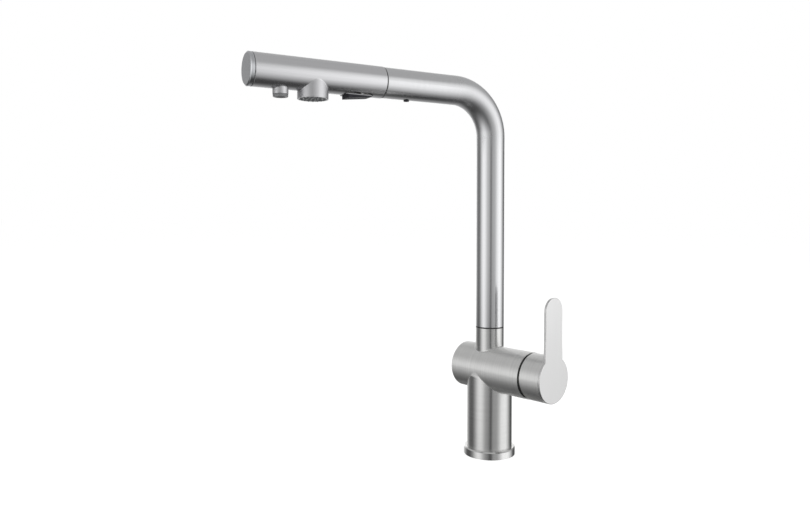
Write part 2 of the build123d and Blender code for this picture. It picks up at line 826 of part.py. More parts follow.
def cartridge_stem():
    ball = Pos(stem_ball_x, 0, barrel_axis_z) * Sphere(stem_ball_r)
    neck = on_barrel(stem_ball_x) * disc(stem_neck_r, stem_ball_reach)
    block_plan = Rectangle(stem_square + 2 * stem_cheek, stem_square)
    block = on_barrel(tilt_pivot_x - stem_block_back) * extrude(block_plan, stem_block_length)
    square_plan = Rectangle(stem_square, stem_square)
    square = on_barrel(tilt_pivot_x) * extrude(square_plan, stem_end_x - tilt_pivot_x)
    square = chamfer(square.edges().group_by(Axis.X)[-1], stem_chamfer)
    return ball + neck + block + square - stem_pin_space(running_gap)


def retaining_nut():
    start_x = cartridge_shoulder_x
    nut = on_barrel(start_x) * disc(cup_bore_r - seat_gap, nut_ring_end_x - start_x)
    hexagon = RegularPolygon(nut_ring_flats / 2, 6, major_radius=False)
    nut += on_barrel(nut_ring_end_x) * extrude(hexagon, nut_ring_hex)
    return nut - on_barrel(start_x) * disc(nut_ring_bore_r, nut_ring_end_x + nut_ring_hex - start_x)


def cover_dome():
    """Black dome in the barrel's mouth, round about the point the handle tilts on."""
    skirt_start = cup_mouth_x + skirt_end_gap - tilt_pivot_x
    mouth = barrel_mouth_x - tilt_pivot_x
    lip_r = barrel_r - dome_lip_inset
    dome_r = sqrt(lip_r ** 2 + mouth ** 2)
    inner_dome_r = dome_r - dome_wall
    skirt_r = barrel_bore_r - seat_gap
    skirt_bore_r = skirt_r - dome_skirt_wall

    def height(sphere_r, radius):
        return sqrt(sphere_r ** 2 - radius ** 2)

    middle_r = (lip_r + dome_hole_r) / 2
    inner_middle_r = (skirt_bore_r + dome_hole_r) / 2
    outer = ThreePointArc(
        (lip_r, mouth), (middle_r, height(dome_r, middle_r)), (dome_hole_r, height(dome_r, dome_hole_r))
    )
    inner = ThreePointArc(
        (dome_hole_r, height(inner_dome_r, dome_hole_r)),
        (inner_middle_r, height(inner_dome_r, inner_middle_r)),
        (skirt_bore_r, height(inner_dome_r, skirt_bore_r)),
    )
    nose = Line(outer @ 1, inner @ 0)
    skirt = Polyline(
        inner @ 1,
        (skirt_bore_r, skirt_start),
        (skirt_r, skirt_start),
        (skirt_r, mouth),
        outer @ 0,
    )
    profile = make_face(Wire([outer, nose, inner] + skirt.edges()))
    return on_barrel(tilt_pivot_x) * revolve(Plane.XZ * profile, Axis.Z)


# ---- handle ----
def handle_cap():
    length = lever_back_x - handle_start_x
    cap = on_barrel(handle_start_x) * disc(handle_r, length)
    cap -= on_barrel(handle_start_x) * disc(handle_r - cap_wall, length - cap_end_wall)
    hub = on_barrel(cap_hub_start_x) * disc(cap_hub_r, lever_back_x - cap_end_wall - cap_hub_start_x)
    cap += hub
    socket = Rectangle(stem_square + seat_gap, stem_square + seat_gap)
    socket_depth = stem_end_x + loose_gap - cap_hub_start_x
    cap -= on_barrel(cap_hub_start_x) * extrude(socket, socket_depth)
    relief = Plane.XZ * Polygon(
        (handle_start_x - 1, barrel_axis_z),
        (handle_start_x, barrel_axis_z),
        (handle_start_x + handle_relief, barrel_axis_z - handle_r),
        (handle_start_x + handle_relief, barrel_axis_z - handle_r - 1),
        (handle_start_x - 1, barrel_axis_z - handle_r - 1),
        align=None,
    )
    cap -= extrude(relief, handle_r + 1, both=True)
    screw_hole = disc(lever_screw_r + seat_gap / 2, handle_r)
    return cap - Pos(lever_screw_x, 0, barrel_axis_z - handle_r - 1) * screw_hole


def lever_screw():
    """Grub screw through the handle's hub onto the stem, reached from below."""
    top_z = barrel_axis_z - stem_square / 2
    screw = Pos(lever_screw_x, 0, top_z - lever_screw_length) * disc(lever_screw_r, lever_screw_length)
    socket = RegularPolygon(lever_screw_socket_r, 6, major_radius=False)
    return screw - Pos(lever_screw_x, 0, top_z - lever_screw_length) * extrude(socket, lever_screw_socket)


def lever_plate():
    """Flat plate: the handle's round face and the blade that rises from it."""
    round_face = Circle(handle_r)
    top_centre_h = lever_rise - lever_half_width
    blade = Polygon(
        (-lever_root_half_width, 0),
        (lever_root_half_width, 0),
        (lever_root_half_width, lever_shoulder_rise),
        (lever_half_width, lever_straight_rise),
        (lever_half_width, top_centre_h),
        (-lever_half_width, top_centre_h),
        (-lever_half_width, lever_straight_rise),
        (-lever_root_half_width, lever_shoulder_rise),
        align=None,
    )
    outline = round_face + blade + Pos(0, top_centre_h) * Circle(lever_half_width)
    plate = extrude(outline, lever_thickness)
    front = plate.faces().sort_by(Axis.Z)[-1]
    plate = fillet(front.outer_wire().edges(), lever_face_edge)
    return on_barrel(lever_back_x) * plate


# ---- spray head ----
def head_shell():
    """Head tube with the two outlet bosses below it and the rocker's pocket."""
    tube = on_arm(head_back_s) * disc(head_r, cap_seam_s - head_back_s)
    tube = fillet(tube.edges().filter_by(GeomType.CIRCLE), head_edge_round)
    shower = Pos(0, -shower_s, shower_rim_z) * disc(shower_r, spout_axis_z - shower_rim_z)
    stream = Pos(0, -stream_s, stream_rim_z) * disc(stream_r, spout_axis_z - stream_rim_z)
    shell = tube + shower + stream
    shell -= on_arm(head_back_s) * disc(head_bore_r, cap_seam_s - head_back_s)
    shell -= Pos(0, -shower_s, shower_rim_z) * disc(shower_r - shower_wall, spout_axis_z - shower_rim_z)
    shell -= Pos(0, -stream_s, stream_rim_z) * disc(stream_r - stream_wall, spout_axis_z - stream_rim_z)
    return turn_to_rest(shell - rocker_pocket())


def rocker_pocket():
    """Flat-topped pocket under the head in which the rocker sits and swings."""
    half_width = rocker_width / 2 + pocket_gap
    start_s = rocker_root_s - pocket_end_gap
    end_s = rocker_tip_s + pocket_end_gap
    low_z = head_low_z - 1
    plan = Pos(0, -(start_s + end_s) / 2) * RectangleRounded(2 * half_width, end_s - start_s, rocker_corner)
    return Pos(0, 0, low_z) * extrude(plan, head_low_z + pocket_depth - low_z)


def seam_ring():
    """Dark ring between the spout's mouth and the head."""
    inner_r = docking_cone_root_r + loose_gap
    outer_r = head_r - seam_ring_inset
    seam = on_arm(spout_mouth_s + face_gap) * ring(outer_r, inner_r, seam_ring_thickness)
    return turn_to_rest(seam)


def front_cap():
    """Cap whose plug sits in the head's front end."""
    plug_s = cap_seam_s - front_cap_plug
    rim_r = head_r - face_gap
    rim_s = cap_seam_s + front_cap_seam
    outline = [
        (core_r - front_cap_wall, plug_s),
        (core_r, plug_s),
        (core_r, rim_s),
        (rim_r - front_cap_rim_chamfer, rim_s),
        (rim_r, rim_s + front_cap_rim_chamfer),
        (rim_r, head_front_s - front_cap_bevel),
        (head_r - front_cap_face_inset, head_front_s),
        (0, head_front_s),
        (0, head_front_s - front_cap_end_wall),
        (core_r - front_cap_wall, head_front_s - front_cap_end_wall),
    ]
    cap = on_arm(0) * turned(outline)
    groove = ring(core_r + 1, core_r - cap_seal_depth, cap_seal_width)
    return turn_to_rest(cap - on_arm(cap_seam_s - cap_seal_back) * groove)


def cap_seal():
    width = cap_seal_width - 2 * face_gap
    seal = ring(head_bore_r - seal_bore_gap, core_r - cap_seal_depth + face_gap, width)
    return turn_to_rest(on_arm(cap_seam_s - cap_seal_back + face_gap) * seal)


def docking_cone():
    """Conical nut on the hose's end, screwed into the head's inlet."""
    outline = [
        (waterway_r, docking_cone_tip_s),
        (docking_cone_tip_r, docking_cone_tip_s),
        (docking_cone_root_r, cone_start_s),
        (docking_cone_root_r, head_back_s),
        (cone_thread_r, head_back_s),
        (cone_thread_r, head_back_s + cone_thread_length),
        (waterway_r, head_back_s + cone_thread_length),
    ]
    return turn_to_rest(on_arm(0) * turned(outline))


def shower_leg_z():
    """Height of the core's foot over the shower, a little above the soft membrane."""
    return shower_rim_z + shower_face_recess + shower_face_thickness + nub_membrane + membrane_gap


def waterway_core():
    """Plastic insert that leads the water to the diverter and the two outlets."""
    start_s = head_back_s + core_setback
    end_s = cap_seam_s - front_cap_plug - loose_gap
    stream_leg_z = stream_rim_z + aerator_neck + core_leg_gap
    stream_leg_r = stream_r - stream_wall - seat_gap
    core = on_arm(start_s) * disc(core_r, end_s - start_s)
    core += Pos(0, -shower_s, shower_leg_z()) * disc(shower_face_r, spout_axis_z - shower_leg_z())
    core += Pos(0, -stream_s, stream_leg_z) * disc(stream_leg_r, spout_axis_z - stream_leg_z)
    core -= on_arm(start_s) * disc(cone_thread_r + seat_gap, cone_thread_length + cone_thread_gap)
    core -= check_valve_seat()
    core -= head_waterways(stream_leg_z)
    core -= rocker_pocket()
    slot_plan = Rectangle(finger_width + 2 * finger_side_gap, finger_slot_length)
    slot_height = spool_z + spool_r / 2 - rocker_pin_z
    core -= Pos(0, -rocker_pivot_s, rocker_pin_z) * extrude(slot_plan, slot_height)
    return turn_to_rest(core + rocker_ears())


def check_valve_start_s():
    return head_back_s + cone_thread_length + cone_thread_gap


def check_valve_seat():
    seat = disc(check_valve_r + seat_gap, check_valve_length + check_valve_end_gap)
    return on_arm(check_valve_start_s()) * Pos(0, waterway_rise) * seat


def head_waterways(stream_leg_z):
    """Ways in the core: inlet, drop to the spool, shower, lift to the gallery, and stream."""
    raised = Pos(0, waterway_rise)
    gallery_z = spout_axis_z + waterway_rise
    inlet = on_arm(check_valve_start_s()) * raised * disc(inlet_way_r, inlet_way_length)
    drop_s = check_valve_start_s() + inlet_way_length - drop_way_back
    drop = Pos(0, -drop_s, spool_z) * disc(drop_way_r, gallery_z - spool_z)
    spool_start = rocker_pivot_s - spool_bore_back
    spool_bore = on_arm(spool_start, spool_z) * disc(spool_r + running_gap, shower_s - spool_start)
    shower_top_z = spool_z + shower_way_top
    shower_way = Pos(0, -shower_s, shower_leg_z()) * disc(shower_way_r, shower_top_z - shower_leg_z())
    gallery_start_s = shower_s - gallery_back
    lift = Pos(0, -(gallery_start_s + lift_way_ahead), spool_z) * disc(lift_way_r, gallery_z - spool_z)
    gallery = on_arm(gallery_start_s) * raised * disc(gallery_r, stream_s - gallery_start_s)
    stream_top_z = gallery_z + gallery_r + stream_way_over
    stream_way = Pos(0, -stream_s, stream_leg_z) * disc(stream_way_r, stream_top_z - stream_leg_z)
    return inlet + drop + spool_bore + shower_way + lift + gallery + stream_way


def rocker_ears():
    """Two small ears in the pocket that hold the rocker's pin."""
    ears = Part()
    for side in (1, -1):
        ear_x = side * (rocker_hub_width / 2 + rocker_side_gap + rocker_ear_thickness / 2)
        place = Plane(origin=(ear_x, -rocker_pivot_s, rocker_pin_z), x_dir=(0, 1, 0), z_dir=(1, 0, 0))
        root = Pos(0, rocker_ear_height / 2) * Rectangle(2 * rocker_ear_r, rocker_ear_height)
        outline = Circle(rocker_ear_r) + root
        ears += place * extrude(outline, rocker_ear_thickness / 2, both=True)
    return ears - rocker_pin_space(seat_gap / 4)


def rocker_pin_space(gap):
    length = rocker_hub_width + 2 * (rocker_side_gap + rocker_ear_thickness)
    place = Plane(origin=(-length / 2, -rocker_pivot_s, rocker_pin_z), x_dir=(0, 1, 0), z_dir=(1, 0, 0))
    return place * disc(rocker_pin_r + gap, length)


def rocker_pin():
    return turn_to_rest(rocker_pin_space(0))


def check_valve():
    """Non-return valve: sleeve, poppet on its stem, and the spider that guides it."""
    start_s = check_valve_start_s() + check_valve_seat_gap
    bore_r = check_valve_r - check_valve_wall
    arm_length = 2 * (bore_r + spider_bite)
    cross = Rectangle(arm_length, spider_arm) + Rectangle(spider_arm, arm_length)
    stem_length = check_valve_length - poppet_ahead - poppet_stem_end
    valve = ring(check_valve_r, bore_r, check_valve_length)
    valve += Pos(0, 0, poppet_ahead) * disc(poppet_r, poppet_thickness)
    valve += Pos(0, 0, poppet_ahead) * disc(poppet_stem_r, stem_length)
    valve += Pos(0, 0, check_valve_length - 2 * spider_arm) * extrude(cross, spider_arm)
    return turn_to_rest(on_arm(start_s) * Pos(0, waterway_rise) * valve)


def nub_places():
    """Places of the nubs, in rings that fill the shower face from its edge inwards."""
    places = []
    ring_r = shower_face_r - nub_margin
    while ring_r > nub_ring_pitch / 2:
        count = round(2 * pi * ring_r / nub_spacing)
        places += PolarLocations(ring_r, count).locations
        ring_r -= nub_ring_pitch
    return places


def shower_face():
    """Plate with a six-sided hole for each nub."""
    face_z = shower_rim_z + shower_face_recess
    plate = disc(shower_face_r, shower_face_thickness)
    holes = Sketch() + [place * RegularPolygon(nub_r + nub_gap, 6) for place in nub_places()]
    plate -= extrude(holes, shower_face_thickness)
    return turn_to_rest(Pos(0, -shower_s, face_z) * plate)


def shower_nubs():
    """Soft membrane behind the face, with one nub through each hole."""
    membrane_z = shower_rim_z + shower_face_recess + shower_face_thickness
    nub = extrude(RegularPolygon(nub_r, 6), membrane_z - nub_tip_z)
    membrane = Pos(0, -shower_s, membrane_z) * disc(shower_face_r, nub_membrane)
    nubs = [Pos(0, -shower_s, nub_tip_z) * place * nub for place in nub_places()]
    return turn_to_rest(membrane + nubs)


def stream_aerator():
    """Ringed insert at the mouth of the small outlet."""
    neck_r = stream_r - stream_wall - seat_gap
    aerator_r = stream_r - aerator_inset
    neck_z = stream_rim_z - aerator_seam
    outline = [
        (aerator_bore_r, aerator_bottom_z),
        (aerator_r - aerator_chamfer, aerator_bottom_z),
        (aerator_r, aerator_bottom_z + aerator_chamfer),
        (aerator_r, neck_z),
        (neck_r, neck_z),
        (neck_r, stream_rim_z + aerator_neck),
        (aerator_bore_r, stream_rim_z + aerator_neck),
    ]
    return turn_to_rest(Pos(0, -stream_s, 0) * turned(outline))


def aerator_screen():
    screen_z = aerator_bottom_z + screen_recess
    screen = disc(aerator_bore_r - face_gap, screen_thickness)
    hole = Circle(screen_hole_r)
    holes = hole + [place * hole for place in PolarLocations(screen_hole_ring_r, 6)]
    screen -= extrude(holes, screen_thickness)
    return turn_to_rest(Pos(0, -stream_s, screen_z) * screen)


# ---- rocker and spool ----
def rocker_plate():
    """Bright plate with the hub and the finger that moves the spool."""
    plate_z = rocker_plate_top_z - rocker_plate_thickness
    middle_s = (rocker_root_s + rocker_tip_s) / 2
    length = rocker_tip_s - rocker_root_s
    plan = Pos(0, -middle_s) * RectangleRounded(rocker_width, length, rocker_corner)
    plate = Pos(0, 0, plate_z) * extrude(plan, rocker_plate_thickness)
    hub_place = Plane(
        origin=(-rocker_hub_width / 2, -rocker_pivot_s, rocker_pin_z), x_dir=(0, 1, 0), z_dir=(1, 0, 0)
    )
    web_height = rocker_pin_z - rocker_plate_top_z + rocker_web_bite
    hub_outline = Circle(rocker_hub_r) + Pos(0, -web_height / 2) * Rectangle(2 * rocker_hub_r, web_height)
    hub = hub_place * extrude(hub_outline, rocker_hub_width)
    finger_place = Plane(
        origin=(-finger_width / 2, -rocker_pivot_s, rocker_pin_z), x_dir=(0, 1, 0), z_dir=(1, 0, 0)
    )
    finger_height = spool_z - rocker_pin_z
    finger_outline = Pos(0, finger_height / 2) * Rectangle(finger_neck, finger_height)
    finger_outline += Pos(0, finger_height) * Circle(finger_r)
    finger = finger_place * extrude(finger_outline, finger_width)
    rocker = plate + hub + finger
    return turn_to_rest(rocker - rocker_pin_space(running_gap / 2))


def rocker_pad():
    """Dark wedge under the plate, thick at the tip."""
    top_z = rocker_plate_top_z - rocker_plate_thickness
    root_s = rocker_root_s + pad_inset
    tip_s = rocker_tip_s - pad_tip_inset
    half_width = rocker_width / 2 - pad_inset
    side = Plane.YZ * Polygon(
        (-root_s, top_z),
        (-tip_s, top_z),
        (-tip_s, top_z - pad_tip_thickness),
        (-root_s, top_z - pad_root_thickness),
        align=None,
    )
    pad = extrude(side, half_width, both=True)
    upright = pad.edges().filter_by(Axis.Z)
    return turn_to_rest(fillet(upright, rocker_corner - pad_inset))


def diverter_spool():
    """Spool with a waist that the rocker's finger sits in."""
    spool = on_arm(spool_start_s, spool_z) * disc(spool_r, spool_length)
    at_finger = on_arm(rocker_pivot_s - spool_slot / 2, spool_z)
    finger_room = Rectangle(finger_width + 2 * spool_waist_side, spool_waist_height)
    waist = at_finger * ring(spool_r + 1, spool_waist_r, spool_slot)
    waist += at_finger * Pos(0, -spool_r / 2) * extrude(finger_room, spool_slot)
    neck_plan = Rectangle(spool_neck_width, spool_neck_height)
    neck = at_finger * Pos(0, spool_neck_rise) * extrude(neck_plan, spool_slot)
    groove = ring(spool_r + 1, spool_r - spool_groove_depth, spool_groove)
    for land in spool_lands:
        spool -= on_arm(spool_start_s + land, spool_z) * groove
    return turn_to_rest(spool - (waist - neck))


def spool_rings():
    inner_r = spool_r - spool_groove_depth + face_gap
    seal = ring(spool_r + spool_ring_stand, inner_r, spool_groove - 2 * spool_ring_gap)
    rings = [on_arm(spool_start_s + land + spool_ring_gap, spool_z) * seal for land in spool_lands]
    return turn_to_rest(Compound(children=rings))


pieces = {
    "base_ring": base_ring,
    "base_gasket": base_gasket,
    "foot_insert": foot_insert,
    "threaded_shank": threaded_shank,
    "rubber_washer": rubber_washer,
    "clamp_washer": clamp_washer,
    "mounting_nut": mounting_nut,
    "body_shell": body_shell,
    "swivel_stop_screw": swivel_stop_screw,
    "swivel_ring": swivel_ring,
    "spout_tube": spout_tube,
    "spout_spigot": spout_spigot,
    "glide_rings": glide_rings,
    "docking_bush": docking_bush,
    "docking_screw": docking_screw,
    "hose_body_run": hose_body_run,
    "hose_coupling": hose_coupling,
    "hose_riser_run": hose_riser_run,
    "hose_arm_run": hose_arm_run,
    "hose_ferrule": hose_ferrule,
    "valve_block": valve_block,
    "cartridge_seals": cartridge_seals,
    "cartridge_base": cartridge_base,
    "fixed_disc": fixed_disc,
    "moving_disc": moving_disc,
    "disc_carrier": disc_carrier,
    "cartridge_housing": cartridge_housing,
    "cartridge_turret": cartridge_turret,
    "stem_pin": stem_pin,
    "cartridge_stem": cartridge_stem,
    "retaining_nut": retaining_nut,
    "cover_dome": cover_dome,
    "handle_cap": handle_cap,
    "lever_screw": lever_screw,
    "lever_plate": lever_plate,
    "head_shell": head_shell,
    "seam_ring": seam_ring,
    "front_cap": front_cap,
    "cap_seal": cap_seal,
    "docking_cone": docking_cone,
    "waterway_core": waterway_core,
    "check_valve": check_valve,
    "shower_face": shower_face,
    "shower_nubs": shower_nubs,
    "stream_aerator": stream_aerator,
    "aerator_screen": aerator_screen,
    "rocker_pin": rocker_pin,
    "rocker_plate": rocker_plate,
    "rocker_pad": rocker_pad,
    "diverter_spool": diverter_spool,
    "spool_rings": spool_rings,
}

os.makedirs("parts", exist_ok=True)
for node, make in pieces.items():
    export_step(make(), f"parts/{node}.step")
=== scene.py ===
import json
import math

import bmesh
import bpy
from mathutils import Matrix, Vector


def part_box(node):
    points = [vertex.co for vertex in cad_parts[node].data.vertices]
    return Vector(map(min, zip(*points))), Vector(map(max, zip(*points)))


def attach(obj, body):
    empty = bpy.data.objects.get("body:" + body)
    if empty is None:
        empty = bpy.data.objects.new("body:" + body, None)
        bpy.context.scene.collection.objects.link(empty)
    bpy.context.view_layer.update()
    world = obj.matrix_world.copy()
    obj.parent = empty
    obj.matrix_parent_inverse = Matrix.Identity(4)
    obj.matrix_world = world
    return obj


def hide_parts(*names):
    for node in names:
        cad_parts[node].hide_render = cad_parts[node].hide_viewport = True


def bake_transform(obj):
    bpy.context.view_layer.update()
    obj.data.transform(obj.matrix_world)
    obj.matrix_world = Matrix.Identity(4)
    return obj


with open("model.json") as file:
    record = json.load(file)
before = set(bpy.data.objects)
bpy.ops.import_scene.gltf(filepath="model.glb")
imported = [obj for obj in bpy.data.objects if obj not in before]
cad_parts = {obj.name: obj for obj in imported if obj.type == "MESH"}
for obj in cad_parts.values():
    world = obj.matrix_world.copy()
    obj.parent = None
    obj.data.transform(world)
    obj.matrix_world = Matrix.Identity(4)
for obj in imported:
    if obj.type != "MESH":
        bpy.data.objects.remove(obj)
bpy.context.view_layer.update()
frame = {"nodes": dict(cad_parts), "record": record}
nodes = frame["nodes"]
slots = {part["node"]: part["material_slot"] for part in frame["record"]["subparts"]}

# ---- sizes that the finishes and the hose follow, in metres ----
spout_turn = math.radians(-12.75)
arm_way = Vector((math.sin(spout_turn), -math.cos(spout_turn), 0))
across_arm = Vector((math.cos(spout_turn), math.sin(spout_turn), 0))
arm_z = 0.3583
barrel_z = 0.0858
barrel_radius = 0.02235
head_radius = 0.01435
outlet_middle = 0.2      # along the arm, between the two outlets
outlet_reach = 0.034
neck_reach = 0.026       # along the barrel, past the edges of the column and the neck

# ---- photograph ----
image_width = 810
image_height = 512
focal_px = 708.0
centre_row = 238.4
sensor_width = 36.0
camera_place = (0.4672, -0.5365, 0.2356)
camera_yaw = 47.9
camera_pitch = -1.66


# ---- material helpers ----
def math_node(tree, operation, first, second=None, third=None):
    """Math node in a material, world or geometry tree. Its values are numbers or sockets."""
    node = tree.nodes.new("ShaderNodeMath")
    node.operation = operation
    for socket, value in zip(node.inputs, (first, second, third)):
        if isinstance(value, bpy.types.NodeSocket):
            tree.links.new(value, socket)
        elif value is not None:
            socket.default_value = value
    return node.outputs[0]


def mix_node(tree, kind, share, first, second):
    """Mix node for colours or vectors. Each end is a socket, a colour or a grey level."""
    node = tree.nodes.new("ShaderNodeMix")
    node.data_type = kind
    tree.links.new(share, node.inputs["Factor"])
    for name, value in (("A", first), ("B", second)):
        if isinstance(value, bpy.types.NodeSocket):
            tree.links.new(value, node.inputs[name])
        elif isinstance(value, (int, float)):
            node.inputs[name].default_value = (value, value, value, 1)
        else:
            node.inputs[name].default_value = (*value, 1)
    return node.outputs["Result"]


edge_softness = 0.0003    # radius on every brushed edge
joint_depth = 0.003       # edges of a joint lie this near a tube's skin


class Maker:
    """Adds nodes to one material and links them."""

    def __init__(self, name, metallic=0.0):
        self.material = bpy.data.materials.new(name)
        self.material.use_nodes = True
        self.tree = self.material.node_tree
        self.shader = self.tree.nodes["Principled BSDF"]
        self.shader.inputs["Metallic"].default_value = metallic
        self.coords = self.tree.nodes.new("ShaderNodeTexCoord").outputs["Object"]

    def link(self, source, target):
        self.tree.links.new(source, target)

    def math(self, operation, first, second=None, third=None):
        return math_node(self.tree, operation, first, second, third)

    def stretched(self, scale, turn=0.0):
        """Object coordinates scaled along X, Y and Z, after a turn about Z."""
        node = self.tree.nodes.new("ShaderNodeMapping")
        node.inputs["Scale"].default_value = scale
        place = self.coords
        if turn:
            rotate = self.tree.nodes.new("ShaderNodeVectorRotate")
            rotate.rotation_type = "Z_AXIS"
            rotate.inputs["Angle"].default_value = turn
            self.link(place, rotate.inputs["Vector"])
            place = rotate.outputs["Vector"]
        self.link(place, node.inputs["Vector"])
        return node.outputs["Vector"]

    def measure(self, operation, vector):
        """Number that a vector operation makes of the object coordinates and a vector."""
        node = self.tree.nodes.new("ShaderNodeVectorMath")
        node.operation = operation
        self.link(self.coords, node.inputs[0])
        node.inputs[1].default_value = vector
        return node.outputs["Value"]

    def along(self, way):
        """Distance along a direction from the origin."""
        return self.measure("DOT_PRODUCT", way)

    def above_skin(self, side_way, height, radius):
        """Distance above a level tube's skin, and above its axis. Its side way is a unit vector."""
        side = self.along(side_way)
        rise = self.math("SUBTRACT", self.along((0, 0, 1)), height)
        squared = self.math("MULTIPLY_ADD", rise, rise, self.math("MULTIPLY", side, side))
        return self.math("SUBTRACT", self.math("SQRT", squared), radius), rise

    def noise(self, vector, scale, detail=3.0, roughness=0.55):
        node = self.tree.nodes.new("ShaderNodeTexNoise")
        node.inputs["Scale"].default_value = scale
        node.inputs["Detail"].default_value = detail
        node.inputs["Roughness"].default_value = roughness
        self.link(vector, node.inputs["Vector"])
        return node.outputs["Fac"]

    def span(self, value, low, high, from_low=0.3, from_high=0.7):
        """Map a value to low..high. The range that it comes from is a noise value's, unless given."""
        node = self.tree.nodes.new("ShaderNodeMapRange")
        node.inputs["From Min"].default_value = from_low
        node.inputs["From Max"].default_value = from_high
        node.inputs["To Min"].default_value = low
        node.inputs["To Max"].default_value = high
        self.link(value, node.inputs["Value"])
        return node.outputs["Result"]

    def blend_vectors(self, share, first, second):
        return mix_node(self.tree, "VECTOR", share, first, second)

    def tone(self, share, dark, light):
        """Set the colour, from dark to light by a share."""
        colour = mix_node(self.tree, "RGBA", share, dark, light)
        self.link(colour, self.shader.inputs["Base Color"])
        return colour

    def sheen(self, roughness):
        """Set the roughness to a value."""
        self.link(roughness, self.shader.inputs["Roughness"])
        return roughness

    def coarsen(self, share, amount, roughness):
        """Add an amount to the roughness where the share is 1."""
        return self.sheen(self.math("MULTIPLY_ADD", share, amount, roughness))

    def bump(self, height, strength, distance, edge=0.0):
        """Fine relief, and edges softened by a small radius in metres."""
        node = self.tree.nodes.new("ShaderNodeBump")
        node.inputs["Strength"].default_value = strength
        node.inputs["Distance"].default_value = distance
        self.link(height, node.inputs["Height"])
        if edge:
            self.soft = self.tree.nodes.new("ShaderNodeBevel")
            self.soft.samples = 4
            self.soft.inputs["Radius"].default_value = edge
            self.link(self.soft.outputs["Normal"], node.inputs["Normal"])
        self.link(node.outputs["Normal"], self.shader.inputs["Normal"])

    def soften_joint(self, off_skin, place, middle, reach, radius):
        """Soften the edges more where two tubes meet: within reach of the middle, and near the skin."""
        near = self.math("LESS_THAN", off_skin, joint_depth)
        here = self.math("COMPARE", place, middle, reach)
        share = self.math("MULTIPLY", near, here)
        wide = self.math("MULTIPLY_ADD", share, radius - edge_softness, edge_softness)
        self.link(wide, self.soft.inputs["Radius"])

    def constant(self, vector):
        node = self.tree.nodes.new("ShaderNodeCombineXYZ")
        for socket, value in zip(node.inputs, vector):
            socket.default_value = value
        return node.outputs["Vector"]

    def spread_along(self, way):
        """Spread the reflections along a direction, which is across the brush lines."""
        self.shader.inputs["Anisotropic"].default_value = 1.0
        self.link(way, self.shader.inputs["Tangent"])


# ---- nickel ----
streak_share = 0.7    # of the roughness follows the brush lines, and the rest a slow drift
line_strength = 0.015
line_depth = 0.0001


def brush(m, lines, roughness=(0.2, 0.25), tones=(0.635, 0.665), tint=(1, 1, 0.99)):
    """Lay fine lines and a slow drift of sheen over nickel, and return its tone and roughness."""
    streaks = m.noise(lines, 1.0, detail=4.0, roughness=0.6)
    drift = m.noise(m.coords, 22.0, detail=2.0, roughness=0.5)
    dark, light = ([level * share for share in tint] for level in tones)
    tone = m.tone(m.span(streaks, 0, 1), dark, light)
    streaked = m.math("MULTIPLY", streaks, streak_share)
    mixed = m.math("ADD", streaked, m.math("MULTIPLY", drift, 1 - streak_share))
    sheen = m.sheen(m.span(mixed, *roughness))
    m.bump(streaks, line_strength, line_depth, edge_softness)
    return tone, sheen


def brushed_nickel(name, scale, turn=0.0, across_lines=None, **looks):
    """Nickel whose brush lines run where the scale is low."""
    m = Maker(name, 1.0)
    brush(m, m.stretched(scale, turn), **looks)
    if across_lines:
        m.spread_along(m.constant(across_lines))
    return m.material


round_column = (14, 14, 900)
round_barrel = (700, 14, 14)
skin_tolerance = 0.00008    # facets of the barrel stay this near its skin
crown_depth = 0.0075        # the barrel's finish runs this far down the column's crowns
crown_fade = 0.003
crown_side = 0.8            # of the barrel's radius: the crowns lie further out than this
tee_joint_radius = 0.0009
barrel_roughness = 0.17     # more than the column's
# painted highlight: the barrel's colour is painted this share paler, so its reflections look brighter
barrel_painted_highlight = 0.43


def brushed_tee(name):
    """Body finish: the column is brushed round its axis, and the barrel, more coarsely, round its own. The
    barrel's colour is painted paler, a painted highlight.
    """
    m = Maker(name, 1.0)
    along_barrel, beside_barrel = m.along((1, 0, 0)), m.along((0, 1, 0))
    above, rise = m.above_skin((0, 1, 0), barrel_z, barrel_radius)
    off_skin = m.math("ABSOLUTE", above)
    on_skin = m.math("LESS_THAN", off_skin, skin_tolerance)
    height_share = m.span(rise, 0, 1, -crown_depth, crown_fade - crown_depth)
    off_crown = m.math("MAXIMUM", m.math("ABSOLUTE", along_barrel), off_skin)
    near_crown = m.math("LESS_THAN", off_crown, crown_depth)
    off_middle = m.math("ABSOLUTE", beside_barrel)
    on_column = m.math("GREATER_THAN", off_middle, crown_side * barrel_radius)
    at_crown = m.math("MULTIPLY", height_share, m.math("MULTIPLY", near_crown, on_column))
    on_barrel = m.math("MAXIMUM", on_skin, at_crown)
    lines = m.blend_vectors(on_barrel, m.stretched(round_column), m.stretched(round_barrel))
    tone, sheen = brush(m, lines, tones=(0.615, 0.685))
    m.soften_joint(off_skin, along_barrel, 0, neck_reach, tee_joint_radius)
    m.spread_along(m.blend_vectors(on_barrel, m.constant((0, 0, 1)), m.constant((1, 0, 0))))
    m.coarsen(on_barrel, barrel_roughness, sheen)
    # painted highlight: a paler colour on the barrel and the column's crowns, standing in for a brighter
    # reflection
    painted_highlight_tone = m.tree.nodes.new("ShaderNodeHueSaturation")
    m.link(tone, painted_highlight_tone.inputs["Color"])
    m.link(m.math("MULTIPLY_ADD", on_barrel, barrel_painted_highlight, 1.0), painted_highlight_tone.inputs["Value"])
    m.link(painted_highlight_tone.outputs["Color"], m.shader.inputs["Base Color"])
    return m.material


outlet_stand = 0.0002       # outlets stand at least this far off the head tube's skin
outlet_joint_radius = 0.0014
outlet_roughness = 0.22     # more than the tube's


def brushed_tube(name, scale, turn, **looks):
    """Head finish: fine lines along the tube, and a softer satin on the outlets below it."""
    m = Maker(name, 1.0)
    sheen = brush(m, m.stretched(scale, turn), **looks)[1]
    above = m.above_skin(across_arm, arm_z, head_radius)[0]
    off_skin = m.math("ABSOLUTE", above)
    m.soften_joint(off_skin, m.along(arm_way), outlet_middle, outlet_reach, outlet_joint_radius)
    on_outlets = m.math("GREATER_THAN", above, outlet_stand)
    m.coarsen(on_outlets, outlet_roughness, sheen)
    return m.material


